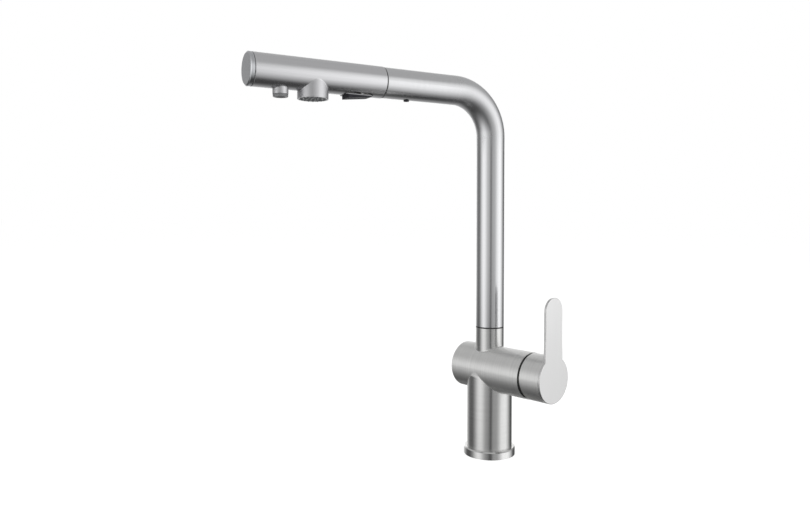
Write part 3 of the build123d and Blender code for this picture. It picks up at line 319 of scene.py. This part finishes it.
bend_satin_end = 0.036      # from the corner where the axes of the riser and the arm meet
bend_fade_end = 0.066
bend_roughness = 0.14       # more than the straight tube's


def brushed_bend(name, scale, **looks):
    """Spout finish: fine lines along the tube, and a softer satin round the bend."""
    m = Maker(name, 1.0)
    sheen = brush(m, m.stretched(scale), **looks)[1]
    off_corner = m.measure("DISTANCE", (0, 0, arm_z))
    at_bend = m.span(off_corner, 1, 0, bend_satin_end, bend_fade_end)
    m.coarsen(at_bend, bend_roughness, sheen)
    return m.material


def polished_nickel(name, roughness=(0.06, 0.13)):
    """Polished nickel with faint smears."""
    m = Maker(name, 1.0)
    smears = m.noise(m.coords, 60.0, detail=3.0, roughness=0.6)
    m.tone(m.span(smears, 0, 1), (0.66, 0.66, 0.655), (0.72, 0.72, 0.715))
    m.sheen(m.span(smears, *roughness))
    m.bump(m.noise(m.coords, 900.0, detail=2.0), 0.02, 0.0001)
    return m.material


# ---- plastic, rubber, braid, brass and steel ----
def moulded(name, dark, light, roughness, coat=0.0, gloss=0.5):
    """Moulded plastic or rubber: fine grain, slight clouding and uneven sheen."""
    m = Maker(name)
    clouds = m.noise(m.coords, 90.0)
    m.tone(m.span(clouds, 0, 1), dark, light)
    m.sheen(m.span(clouds, *roughness))
    m.shader.inputs["Coat Weight"].default_value = coat
    m.shader.inputs["Specular IOR Level"].default_value = gloss
    m.bump(m.noise(m.coords, 1400.0), 0.12, 0.0002)
    return m.material


braid_strands = 12
braid_pitch = 0.0065
crossing_swing = 0.6


def braided_sleeve(name):
    """Nylon sleeve of crossing strands. The weave attribute holds the place round and along the hose."""
    m = Maker(name)
    weave = m.tree.nodes.new("ShaderNodeAttribute")
    weave.attribute_name = "weave"
    split = m.tree.nodes.new("ShaderNodeSeparateXYZ")
    m.link(weave.outputs["Vector"], split.inputs[0])
    around = m.math("ARCTAN2", split.outputs["Y"], split.outputs["X"])
    around = m.math("MULTIPLY", around, braid_strands)
    along = m.math("MULTIPLY", split.outputs["Z"], 2 * math.pi / braid_pitch)
    one_way = m.math("SINE", m.math("ADD", around, along))
    other_way = m.math("SINE", m.math("SUBTRACT", around, along))
    crossing = m.math("MULTIPLY", one_way, other_way)
    share = m.span(crossing, 0, 1, -crossing_swing, crossing_swing)
    m.tone(share, (0.012, 0.012, 0.013), (0.075, 0.075, 0.08))
    m.sheen(m.span(share, 0.6, 0.42, 0, 1))
    m.bump(crossing, 0.5, 0.0004)
    return m.material


def machined_brass(name):
    """Turned brass: fine rings about Z, and faint stains."""
    m = Maker(name, 1.0)
    rings = m.noise(m.stretched((40, 40, 1600)), 1.0, detail=2.0)
    stains = m.noise(m.coords, 120.0, detail=4.0)
    m.tone(m.span(stains, 0, 1), (0.60, 0.45, 0.20), (0.76, 0.60, 0.30))
    m.sheen(m.span(rings, 0.22, 0.38))
    m.bump(rings, 0.08, 0.0001)
    return m.material


def plain_steel(name):
    """Dull steel with an even grain."""
    m = Maker(name, 1.0)
    grain = m.noise(m.coords, 300.0)
    m.tone(m.span(grain, 0, 1), (0.50, 0.50, 0.51), (0.62, 0.62, 0.63))
    m.sheen(m.span(grain, 0.25, 0.4))
    m.bump(grain, 0.05, 0.0001)
    return m.material


# ---- finishes ----
lines_upright = (700, 700, 10)
lines_along_arm = (700, 10, 700)

finishes = {
    "brushed_body": brushed_tee("brushed_body"),
    "brushed_lever": brushed_nickel("brushed_lever", lines_upright, tones=(0.71, 0.74), tint=(1, 1, 1)),
    "brushed_spout": brushed_bend(
        "brushed_spout", lines_upright, roughness=(0.16, 0.2), tint=(0.99, 0.995, 1.01)
    ),
    "brushed_head": brushed_tube("brushed_head", lines_along_arm, -spout_turn, tint=(1, 1, 1.02)),
    # painted shade: the cap's colour is painted darker than the other brushed nickel, darkening its face's
    # reflections
    "brushed_cap": brushed_nickel(
        "brushed_cap", lines_upright, tones=(0.56, 0.6), tint=(0.985, 1, 1.03)
    ),
    # painted highlight: the handle's colour is painted as pale as the barrel's, brightening its reflections
    "brushed_handle": brushed_nickel(
        "brushed_handle", round_barrel, roughness=(0.37, 0.42), across_lines=(1, 0, 0), tones=(0.88, 0.97)
    ),
    "polished_nickel": polished_nickel("polished_nickel"),
    "ring_nickel": polished_nickel("ring_nickel", (0.13, 0.19)),
    "black_plastic": moulded(
        "black_plastic", (0.012, 0.012, 0.012), (0.025, 0.025, 0.025), (0.3, 0.42)
    ),
    "rocker_black": moulded(
        "rocker_black", (0.026, 0.026, 0.031), (0.042, 0.042, 0.049), (0.5, 0.6), gloss=0.15
    ),
    "white_plastic": moulded("white_plastic", (0.72, 0.72, 0.70), (0.80, 0.80, 0.78), (0.38, 0.5)),
    "grey_plastic": moulded("grey_plastic", (0.20, 0.205, 0.21), (0.26, 0.265, 0.27), (0.38, 0.5)),
    "grey_rubber": moulded(
        "grey_rubber", (0.15, 0.155, 0.16), (0.20, 0.205, 0.21), (0.5, 0.62), gloss=0.25
    ),
    "black_rubber": moulded(
        "black_rubber", (0.02, 0.02, 0.02), (0.035, 0.035, 0.035), (0.6, 0.75), gloss=0.2
    ),
    "brass": machined_brass("brass"),
    "plain_steel": plain_steel("plain_steel"),
    "ceramic": moulded("ceramic", (0.82, 0.81, 0.77), (0.87, 0.86, 0.83), (0.12, 0.2), coat=0.3),
    # painted shade: the rocker's nickel plate is painted dark, in place of the shade along its edge
    "rocker_nickel": brushed_nickel(
        "rocker_nickel", lines_along_arm, -spout_turn,
        tones=(0.24, 0.28), roughness=(0.3, 0.36), tint=(1, 1, 1.03)
    ),
    "braid": braided_sleeve("braid"),
    "hose_sleeve": moulded("hose_sleeve", (0.02, 0.02, 0.022), (0.05, 0.05, 0.055), (0.45, 0.6)),
}

own_finish = {
    "body_shell": "brushed_body",
    "base_ring": "ring_nickel",
    "spout_tube": "brushed_spout",
    "head_shell": "brushed_head",
    "handle_cap": "brushed_handle",
    "lever_plate": "brushed_lever",
    "front_cap": "brushed_cap",
    "rocker_plate": "rocker_nickel",
    "rocker_pad": "rocker_black",
    "docking_screw": "rocker_black",
}


def dress_nodes():
    """Give every CAD piece its own finish or that of its material slot."""
    for name, piece in nodes.items():
        piece.data.materials.clear()
        piece.data.materials.append(finishes[own_finish.get(name, slots[name])])


# ---- finer pieces ----
def place_piece(name, mesh, finish):
    """Put a finished mesh in the scene."""
    piece = bpy.data.objects.new(name, mesh)
    bpy.context.scene.collection.objects.link(piece)
    mesh.materials.clear()
    mesh.materials.append(finishes[finish])
    return piece


def new_piece(name, mesh, body, finish, stands_for):
    """Put a finished mesh in the scene on its body, in place of the CAD piece that it stands for."""
    piece = place_piece(name, mesh, finish)
    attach(piece, body)
    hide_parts(stands_for)
    return piece


def middle(node):
    """Middle of a CAD piece's box."""
    low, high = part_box(node)
    return tuple((a + b) / 2 for a, b in zip(low, high))


def turned_mesh(name, rows, steps):
    """Closed ring about Z. A row is a height and a radius, or a radius function of angle and height."""
    points = []
    for height, radius in rows:
        for k in range(steps):
            angle = 2 * math.pi * k / steps
            r = radius(angle, height) if callable(radius) else radius
            points.append((r * math.cos(angle), r * math.sin(angle), height))
    faces = []
    for i in range(len(rows)):
        ahead = (i + 1) % len(rows)
        for k in range(steps):
            beside = (k + 1) % steps
            faces.append((i * steps + k, i * steps + beside, ahead * steps + beside, ahead * steps + k))
    mesh = bpy.data.meshes.new(name)
    mesh.from_pydata(points, [], faces)
    shell = bmesh.new()
    shell.from_mesh(mesh)
    bmesh.ops.recalc_face_normals(shell, faces=shell.faces)
    shell.to_mesh(mesh)
    shell.free()
    return mesh


thread_pitch = 0.002
thread_depth = 0.0007
thread_top = -0.001       # just below the worktop's face
rows_per_turn = 8
shank_radius = 0.0165
shank_bore = 0.014
shank_chamfer = 0.0008
collar_radius = 0.0185
collar_height = 0.0165


def build_shank():
    """Threaded shank: a fine thread from its lower end up to the worktop."""
    low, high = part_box("threaded_shank")
    bottom, top = low[2], high[2]
    thread_start = bottom + shank_chamfer
    thread_length = thread_top - thread_start

    def thread(angle, height):
        phase = (height / thread_pitch + angle / (2 * math.pi)) % 1
        ends = min(1, (height - thread_start) / thread_pitch, (thread_top - height) / thread_pitch)
        return shank_radius - thread_depth * max(0, ends) * (1 - abs(2 * phase - 1))

    count = round(thread_length / thread_pitch * rows_per_turn)
    rows = [(bottom, shank_bore), (bottom, shank_radius - shank_chamfer)]
    rows += [(thread_start + thread_length * i / count, thread) for i in range(count + 1)]
    rows += [(collar_height, shank_radius), (collar_height, collar_radius), (top, collar_radius)]
    rows += [(top, shank_bore)]
    mesh = turned_mesh("shank_thread", rows, steps=64)
    shank = new_piece("shank_thread", mesh, "root", "brass", "threaded_shank")
    shank.visible_glossy = False    # the worktop hides it from the reflections above


nut_flats = 0.046
nut_corner_radius = 0.0252    # at the foot, from where the corners are cut at 45 degrees
nut_corner_height = 0.0014
nut_foot_chamfer = 0.0006
nut_countersink = 0.001
nut_thread_gap = 0.0001
nut_shoulder = 0.002
nut_shoulder_radius = 0.0255
nut_shoulder_chamfer = 0.0004


def build_nut():
    """Mounting nut with chamfered corners, a shoulder and a countersunk thread."""
    low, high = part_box("mounting_nut")
    bottom, top = low[2], high[2]
    bore = shank_radius + nut_thread_gap
    shoulder = top - nut_shoulder
    inner_shoulder_radius = nut_shoulder_radius - nut_shoulder_chamfer

    def hexagon(angle, height):
        from_flat = (angle + math.pi / 6) % (math.pi / 3) - math.pi / 6
        return min(nut_flats / 2 / math.cos(from_flat), nut_corner_radius + height - bottom)

    rows = [(bottom + nut_countersink, bore), (bottom, bore + nut_countersink)]
    rows += [(bottom, nut_flats / 2 - nut_foot_chamfer)]
    rows += [(bottom + nut_corner_height * i / 4, hexagon) for i in range(5)]
    rows += [(shoulder, hexagon), (shoulder, inner_shoulder_radius)]
    rows += [(shoulder + nut_shoulder_chamfer, nut_shoulder_radius)]
    rows += [(top, nut_shoulder_radius), (top, bore)]
    mesh = turned_mesh("nut_chamfered", rows, steps=96)
    nut = new_piece("nut_chamfered", mesh, "root", "brass", "mounting_nut")
    nut.visible_glossy = False


class Growth:
    """One geometry node tree with named size inputs, grown into a plain mesh."""

    def __init__(self, name):
        self.name = name
        self.tree = bpy.data.node_groups.new(name, "GeometryNodeTree")
        self.tree.interface.new_socket("Geometry", in_out="OUTPUT", socket_type="NodeSocketGeometry")
        self.entry = self.tree.nodes.new("NodeGroupInput")
        self.values = {}

    def size(self, name, value):
        """Add a size input, and return its outlet in the tree."""
        socket = self.tree.interface.new_socket(name, in_out="INPUT", socket_type="NodeSocketFloat")
        self.values[socket.identifier] = value
        return self.entry.outputs[name]

    def node(self, kind, outlet=0, **inputs):
        """Add a node with its inputs, and return one of its outlets, or the node where outlet is None."""
        node = self.tree.nodes.new(kind)
        for key, value in inputs.items():
            socket = node.inputs[key.replace("_", " ")]
            for source in value if isinstance(value, list) else [value]:
                if isinstance(source, bpy.types.NodeSocket):
                    self.tree.links.new(source, socket)
                else:
                    socket.default_value = source
        return node if outlet is None else node.outputs[outlet]

    def math(self, operation, first, second=None):
        return math_node(self.tree, operation, first, second)

    def finish(self, geometry, finish):
        """Close the tree with its finish, and return its result as a mesh."""
        whole = self.node("GeometryNodeRealizeInstances", Geometry=geometry)
        painted = self.node("GeometryNodeSetMaterial", Geometry=whole, Material=finishes[finish])
        outlet = self.tree.nodes.new("NodeGroupOutput")
        self.tree.links.new(painted, outlet.inputs["Geometry"])
        host = bpy.data.objects.new(self.name, bpy.data.meshes.new(self.name))
        bpy.context.scene.collection.objects.link(host)
        modifier = host.modifiers.new(self.name, "NODES")
        modifier.node_group = self.tree
        for identifier, value in self.values.items():
            modifier[identifier] = value
        bpy.context.view_layer.update()
        grown = host.evaluated_get(bpy.context.evaluated_depsgraph_get())
        mesh = bpy.data.meshes.new_from_object(grown)
        host.modifiers.clear()
        bpy.data.objects.remove(host)
        return mesh


nub_rings = 3
nub_sides = 14
nub_shaft = 0.9           # share of a nub's length below its rounded end
# A nub's end, from the shaft up: each step's rise as a share of its length, and how it narrows.
nub_end_steps = ((0.1, 0.78), (0.0, 0.62), (-0.5, 1.0))    # shoulder, flat rim, bore
membrane_overlap = 0.00005


def build_spray_nubs():
    """Soft membrane with rings of bored nubs, grown upwards and then turned over."""
    x, y = middle("shower_nubs")[:2]
    low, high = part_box("shower_nubs")
    face_low, face_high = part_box("shower_face")
    g = Growth("spray_nubs")
    face_radius = g.size("face radius", (face_high[0] - face_low[0]) / 2)
    margin = g.size("edge margin", 0.0016)
    pitch = g.size("ring pitch", 0.00355)
    spacing = g.size("nub spacing", 0.0039)
    root = g.size("nub root radius", 0.00084)
    tip = g.size("nub tip radius", 0.00066)
    length = g.size("nub length", face_high[2] - low[2])
    membrane = g.size("membrane thickness", high[2] - face_high[2])
    shaft = g.math("MULTIPLY", length, nub_shaft)
    cone = g.node(
        "GeometryNodeMeshCone", None, Vertices=nub_sides, Radius_Top=tip, Radius_Bottom=root, Depth=shaft
    )
    nub, end = cone.outputs["Mesh"], cone.outputs["Top"]
    for rise, narrowing in nub_end_steps:
        offset = g.math("MULTIPLY", length, rise)
        pushed = g.node("GeometryNodeExtrudeMesh", None, Mesh=nub, Selection=end, Offset_Scale=offset)
        end = pushed.outputs["Top"]
        nub = g.node(
            "GeometryNodeScaleElements", Geometry=pushed.outputs["Mesh"], Selection=end, Scale=narrowing
        )
    places = []
    outer_ring = g.math("SUBTRACT", face_radius, margin)
    for count in range(nub_rings):
        ring = g.math("SUBTRACT", outer_ring, g.math("MULTIPLY", pitch, float(count)))
        around = g.math("ROUND", g.math("DIVIDE", g.math("MULTIPLY", ring, 2 * math.pi), spacing))
        places.append(g.node("GeometryNodeMeshCircle", Vertices=around, Radius=ring))
    points = g.node("GeometryNodeJoinGeometry", Geometry=places)
    nubs = g.node("GeometryNodeInstanceOnPoints", Points=points, Instance=nub)
    skin = g.node("GeometryNodeMeshCylinder", Vertices=64, Radius=face_radius, Depth=membrane)
    drop = g.math("SUBTRACT", membrane_overlap, g.math("MULTIPLY", membrane, 0.5))
    skin = g.node("GeometryNodeTransform", Geometry=skin, Translation=g.node("ShaderNodeCombineXYZ", Z=drop))
    whole = g.node("GeometryNodeJoinGeometry", Geometry=[nubs, skin])
    whole = g.node("GeometryNodeRealizeInstances", Geometry=whole)
    whole = g.node(
        "GeometryNodeTransform", Geometry=whole, Translation=(x, y, face_high[2]),
        Rotation=(math.pi, 0, spout_turn),
    )
    mesh = g.finish(whole, "grey_rubber")
    new_piece("spray_nubs", mesh, "spray_head", "grey_rubber", "shower_nubs")


wire_depth = 0.3          # share of the screen's thickness, as the next is
layer_rise = 0.32
wire_reach = 0.98         # share of its radius, as the next two are
rim_middle = 0.95
rim_width = 0.05


def build_aerator_mesh():
    """Woven screen of the stream outlet: two layers of fine wires in a ring."""
    low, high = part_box("aerator_screen")
    g = Growth("stream_screen")
    radius = g.size("screen radius", (high[0] - low[0]) / 2)
    pitch = g.size("wire pitch", 0.0007)
    wire = g.size("wire width", 0.00022)
    thickness = g.size("screen thickness", high[2] - low[2])
    each_side = g.math("FLOOR", g.math("DIVIDE", radius, pitch))
    count = g.math("ADD", g.math("MULTIPLY", each_side, 2.0), 1.0)
    start = g.math("MULTIPLY", each_side, g.math("MULTIPLY", pitch, -1.0))
    line = g.node(
        "GeometryNodeMeshLine", Count=count, Start_Location=g.node("ShaderNodeCombineXYZ", X=start),
        Offset=g.node("ShaderNodeCombineXYZ", X=pitch),
    )
    wire_x = g.node("ShaderNodeSeparateXYZ", Vector=g.node("GeometryNodeInputPosition"))
    squared = g.math("SUBTRACT", g.math("MULTIPLY", radius, radius), g.math("MULTIPLY", wire_x, wire_x))
    half_chord = g.math("SQRT", g.math("MAXIMUM", squared, 1e-8))
    chord = g.math("MULTIPLY", half_chord, 2 * wire_reach)
    size = g.node("ShaderNodeCombineXYZ", X=wire, Y=chord, Z=g.math("MULTIPLY", thickness, wire_depth))
    bar = g.node("GeometryNodeMeshCube", Size=(1, 1, 1))
    layer = g.node("GeometryNodeInstanceOnPoints", Points=line, Instance=bar, Scale=size)
    layer = g.node("GeometryNodeRealizeInstances", Geometry=layer)
    other = g.node("GeometryNodeTransform", Geometry=layer, Rotation=(0, 0, math.pi / 2))
    rise = g.node("ShaderNodeCombineXYZ", Z=g.math("MULTIPLY", thickness, layer_rise))
    other = g.node("GeometryNodeTransform", Geometry=other, Translation=rise)
    rim_radius, rim_wire = (g.math("MULTIPLY", radius, share) for share in (rim_middle, rim_width))
    rim_path = g.node("GeometryNodeCurvePrimitiveCircle", Resolution=48, Radius=rim_radius)
    rim_section = g.node("GeometryNodeCurvePrimitiveCircle", Resolution=8, Radius=rim_wire)
    rim = g.node("GeometryNodeCurveToMesh", Curve=rim_path, Profile_Curve=rim_section)
    whole = g.node("GeometryNodeJoinGeometry", Geometry=[layer, other, rim])
    place = middle("aerator_screen")
    whole = g.node("GeometryNodeTransform", Geometry=whole, Translation=place, Rotation=(0, 0, spout_turn))
    mesh = g.finish(whole, "plain_steel")
    new_piece("stream_screen", mesh, "spray_head", "plain_steel", "aerator_screen")


hose_radius = 0.0055
hose_bore = 0.004
hose_grip = 0.002      # length at each end that doesn't stretch
hose_rings = 96
pull_out = 0.45


def build_hose():
    """Braided hose in the arm, which pays out of the spout as the head is pulled."""
    along = [vertex.co.dot(arm_way) for vertex in nodes["hose_arm_run"].data.vertices]
    start, end = min(along), max(along)
    length = end - start
    rows = [(start + length * i / hose_rings, hose_radius) for i in range(hose_rings + 1)]
    rows += [(end, hose_bore), (start, hose_bore)]
    mesh = turned_mesh("hose_braid", rows, steps=32)
    weave = mesh.attributes.new("weave", "FLOAT_VECTOR", "POINT")
    for vertex, entry in zip(mesh.vertices, weave.data):
        x, y, s = vertex.co
        share = min(1, max(0, (s - start - hose_grip) / (length - 2 * hose_grip)))
        paid_out = pull_out * share * share * (3 - 2 * share)
        entry.vector = (x / hose_radius, y / hose_radius, s + paid_out)
    to_arm = Matrix((across_arm, Vector((0, 0, 1)), arm_way)).transposed().to_4x4()
    to_arm.translation = (0, 0, arm_z)
    if to_arm.determinant() < 0:
        mesh.flip_normals()
    mesh.transform(to_arm)
    piece = place_piece("hose_braid", mesh, "braid")
    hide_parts("hose_arm_run")
    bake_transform(piece)


# ---- studio ----
# Light that metal and gloss see, by compass angle in degrees: softboxes, flags and the pale backdrop.
level_ring = (
    (-180, 0.48), (-165, 0.26), (-150, 0.22), (-138, 0.31), (-122, 0.9), (-108, 1.35), (-96, 1.36),
    (-84, 1.18), (-70, 0.76), (-55, 0.62), (-48, 0.45), (-42, 0.12), (-36, 0.42), (-28, 0.56),
    (-12, 0.64), (0, 0.85), (14, 1.32), (30, 1.5), (46, 1.45), (60, 0.95), (78, 0.36), (90, 0.14),
    (104, 0.2), (120, 1.1), (140, 1.45), (158, 1.4), (180, 0.48),
)
# What they see lower down, where the flags reach further.
low_ring = (
    (-180, 0.3), (-168, 0.12), (-145, 0.12), (-128, 0.36), (-113, 0.85), (-101, 1.1), (-89, 1.0),
    (-78, 0.62), (-68, 0.38), (-57, 0.26), (-47, 0.08), (-40, 0.1), (-32, 0.4), (-12, 0.44),
    (0, 0.75), (14, 1.25), (26, 1.2), (40, 1.25), (58, 0.85), (74, 0.3), (86, 0.06), (98, 0.1),
    (118, 0.42), (140, 0.6), (158, 0.7), (180, 0.3),
)
# And further down still, at 40 degrees below level.
deep_ring = (
    (-180, 0.14), (-150, 0.12), (-125, 0.26), (-100, 0.38), (-75, 0.28), (-45, 0.12), (-10, 0.3),
    (15, 0.68), (35, 0.74), (60, 0.5), (85, 0.1), (105, 0.12), (130, 0.36), (158, 0.38), (180, 0.14),
)
overhead_light = 0.54
zenith_light = 0.45
underfoot_light = 0.07
fill_light = 0.5
softboxes = {"left_softbox": -100, "right_softbox": 20}    # by compass angle
softbox_elevation = 25
softbox_distance = 1.7
softbox_size = 1.3
softbox_radiance = 1.3
softbox_aim = Vector((0, 0, 0.2))
floor_half_width = 40
floor_grey = 0.9
floor_glow = 0.55


def build_softbox(name, azimuth):
    """Square area lamp that faces the object. Metal sees the studio rings instead of it."""
    a, e = math.radians(azimuth), math.radians(softbox_elevation)
    away = Vector((math.cos(a) * math.cos(e), math.sin(a) * math.cos(e), math.sin(e)))
    lamp = bpy.data.lights.new(name, "AREA")
    lamp.size = softbox_size
    lamp.energy = softbox_radiance * math.pi * softbox_size * softbox_size
    piece = bpy.data.objects.new(name, lamp)
    piece.location = softbox_aim + away * softbox_distance
    piece.rotation_mode = "QUATERNION"
    piece.rotation_quaternion = away.to_track_quat("Z", "Y")
    piece.visible_glossy = False
    bpy.context.scene.collection.objects.link(piece)


def build_floor():
    """Pale paper floor. Only the camera sees its glow, and reflections don't see it at all."""
    mesh = bpy.data.meshes.new("floor")
    w = floor_half_width
    mesh.from_pydata([(-w, -w, 0), (w, -w, 0), (w, w, 0), (-w, w, 0)], [], [(0, 1, 2, 3)])
    floor = bpy.data.objects.new("floor", mesh)
    bpy.context.scene.collection.objects.link(floor)
    floor.visible_glossy = False
    material = bpy.data.materials.new("floor_paper")
    material.use_nodes = True
    tree = material.node_tree
    shader = tree.nodes["Principled BSDF"]
    shader.inputs["Base Color"].default_value = (floor_grey, floor_grey, floor_grey, 1)
    shader.inputs["Roughness"].default_value = 0.9
    shader.inputs["Specular IOR Level"].default_value = 0.0
    shader.inputs["Emission Color"].default_value = (1, 1, 1, 1)
    path = tree.nodes.new("ShaderNodeLightPath")
    glow = math_node(tree, "MULTIPLY", path.outputs["Is Camera Ray"], floor_glow)
    tree.links.new(glow, shader.inputs["Emission Strength"])
    mesh.materials.append(material)


def ring_light(tree, turn, ring):
    """Grey level of a ring at each turn from 0 to 1."""
    ramp = tree.nodes.new("ShaderNodeValToRGB")
    tree.links.new(turn, ramp.inputs["Fac"])
    stops = ramp.color_ramp.elements
    while len(stops) < len(ring):
        stops.new(0.5)
    for stop, (angle, _) in zip(stops, ring):
        stop.position = (angle + 180) / 360
    for stop, (_, level) in zip(stops, ring):
        stop.color = (level, level, level, 1)
    return ramp.outputs["Color"]


def studio_light(tree):
    """Light of the three rings, fading to the overhead and underfoot levels."""
    way = tree.nodes.new("ShaderNodeTexCoord").outputs["Generated"]
    split = tree.nodes.new("ShaderNodeSeparateXYZ")
    tree.links.new(way, split.inputs[0])
    compass = math_node(tree, "ARCTAN2", split.outputs["Y"], split.outputs["X"])
    turn = math_node(tree, "MULTIPLY_ADD", compass, 0.5 / math.pi, 0.5)
    height = math_node(tree, "ARCSINE", split.outputs["Z"])
    light = ring_light(tree, turn, level_ring)
    low_light = ring_light(tree, turn, low_ring)
    deep_light = ring_light(tree, turn, deep_ring)
    fades = (    # from and to these heights in degrees
        (-5, -12, low_light), (12, 40, overhead_light), (68, 85, zenith_light),
        (-18, -40, deep_light), (-40, -66, underfoot_light),
    )
    for start, end, level in fades:
        share = tree.nodes.new("ShaderNodeMapRange")
        share.inputs["From Min"].default_value = math.radians(start)
        share.inputs["From Max"].default_value = math.radians(end)
        tree.links.new(height, share.inputs["Value"])
        light = mix_node(tree, "RGBA", share.outputs["Result"], light, level)
    return light


def build_world():
    """White backdrop for the camera, the studio rings for gloss, plain grey for the rest."""
    world = bpy.data.worlds.new("studio")
    bpy.context.scene.world = world
    world.use_nodes = True
    tree = world.node_tree
    path = tree.nodes.new("ShaderNodeLightPath")
    light = mix_node(tree, "RGBA", path.outputs["Is Glossy Ray"], fill_light, studio_light(tree))
    clear = math_node(tree, "MAXIMUM", path.outputs["Is Camera Ray"], path.outputs["Is Transmission Ray"])
    light = mix_node(tree, "RGBA", clear, light, 1.0)
    tree.links.new(light, tree.nodes["Background"].inputs["Color"])


def build_camera():
    """Camera at the photograph's place and angle."""
    camera = bpy.data.cameras.new("photo_camera")
    camera.sensor_width = sensor_width
    camera.lens = focal_px / image_width * sensor_width
    camera.shift_y = -(image_height / 2 - centre_row) / image_width
    camera.clip_start = 0.01
    camera.clip_end = 100.0
    piece = bpy.data.objects.new("photo_camera", camera)
    piece.location = camera_place
    piece.rotation_euler = (math.radians(90 + camera_pitch), 0, math.radians(camera_yaw))
    bpy.context.scene.collection.objects.link(piece)
    bpy.context.scene.camera = piece


dress_nodes()
build_shank()
build_nut()
build_hose()
build_spray_nubs()
build_aerator_mesh()
build_floor()
build_world()
for name, azimuth in softboxes.items():
    build_softbox(name, azimuth)
build_camera()
bpy.context.scene.view_settings.view_transform = "Standard"
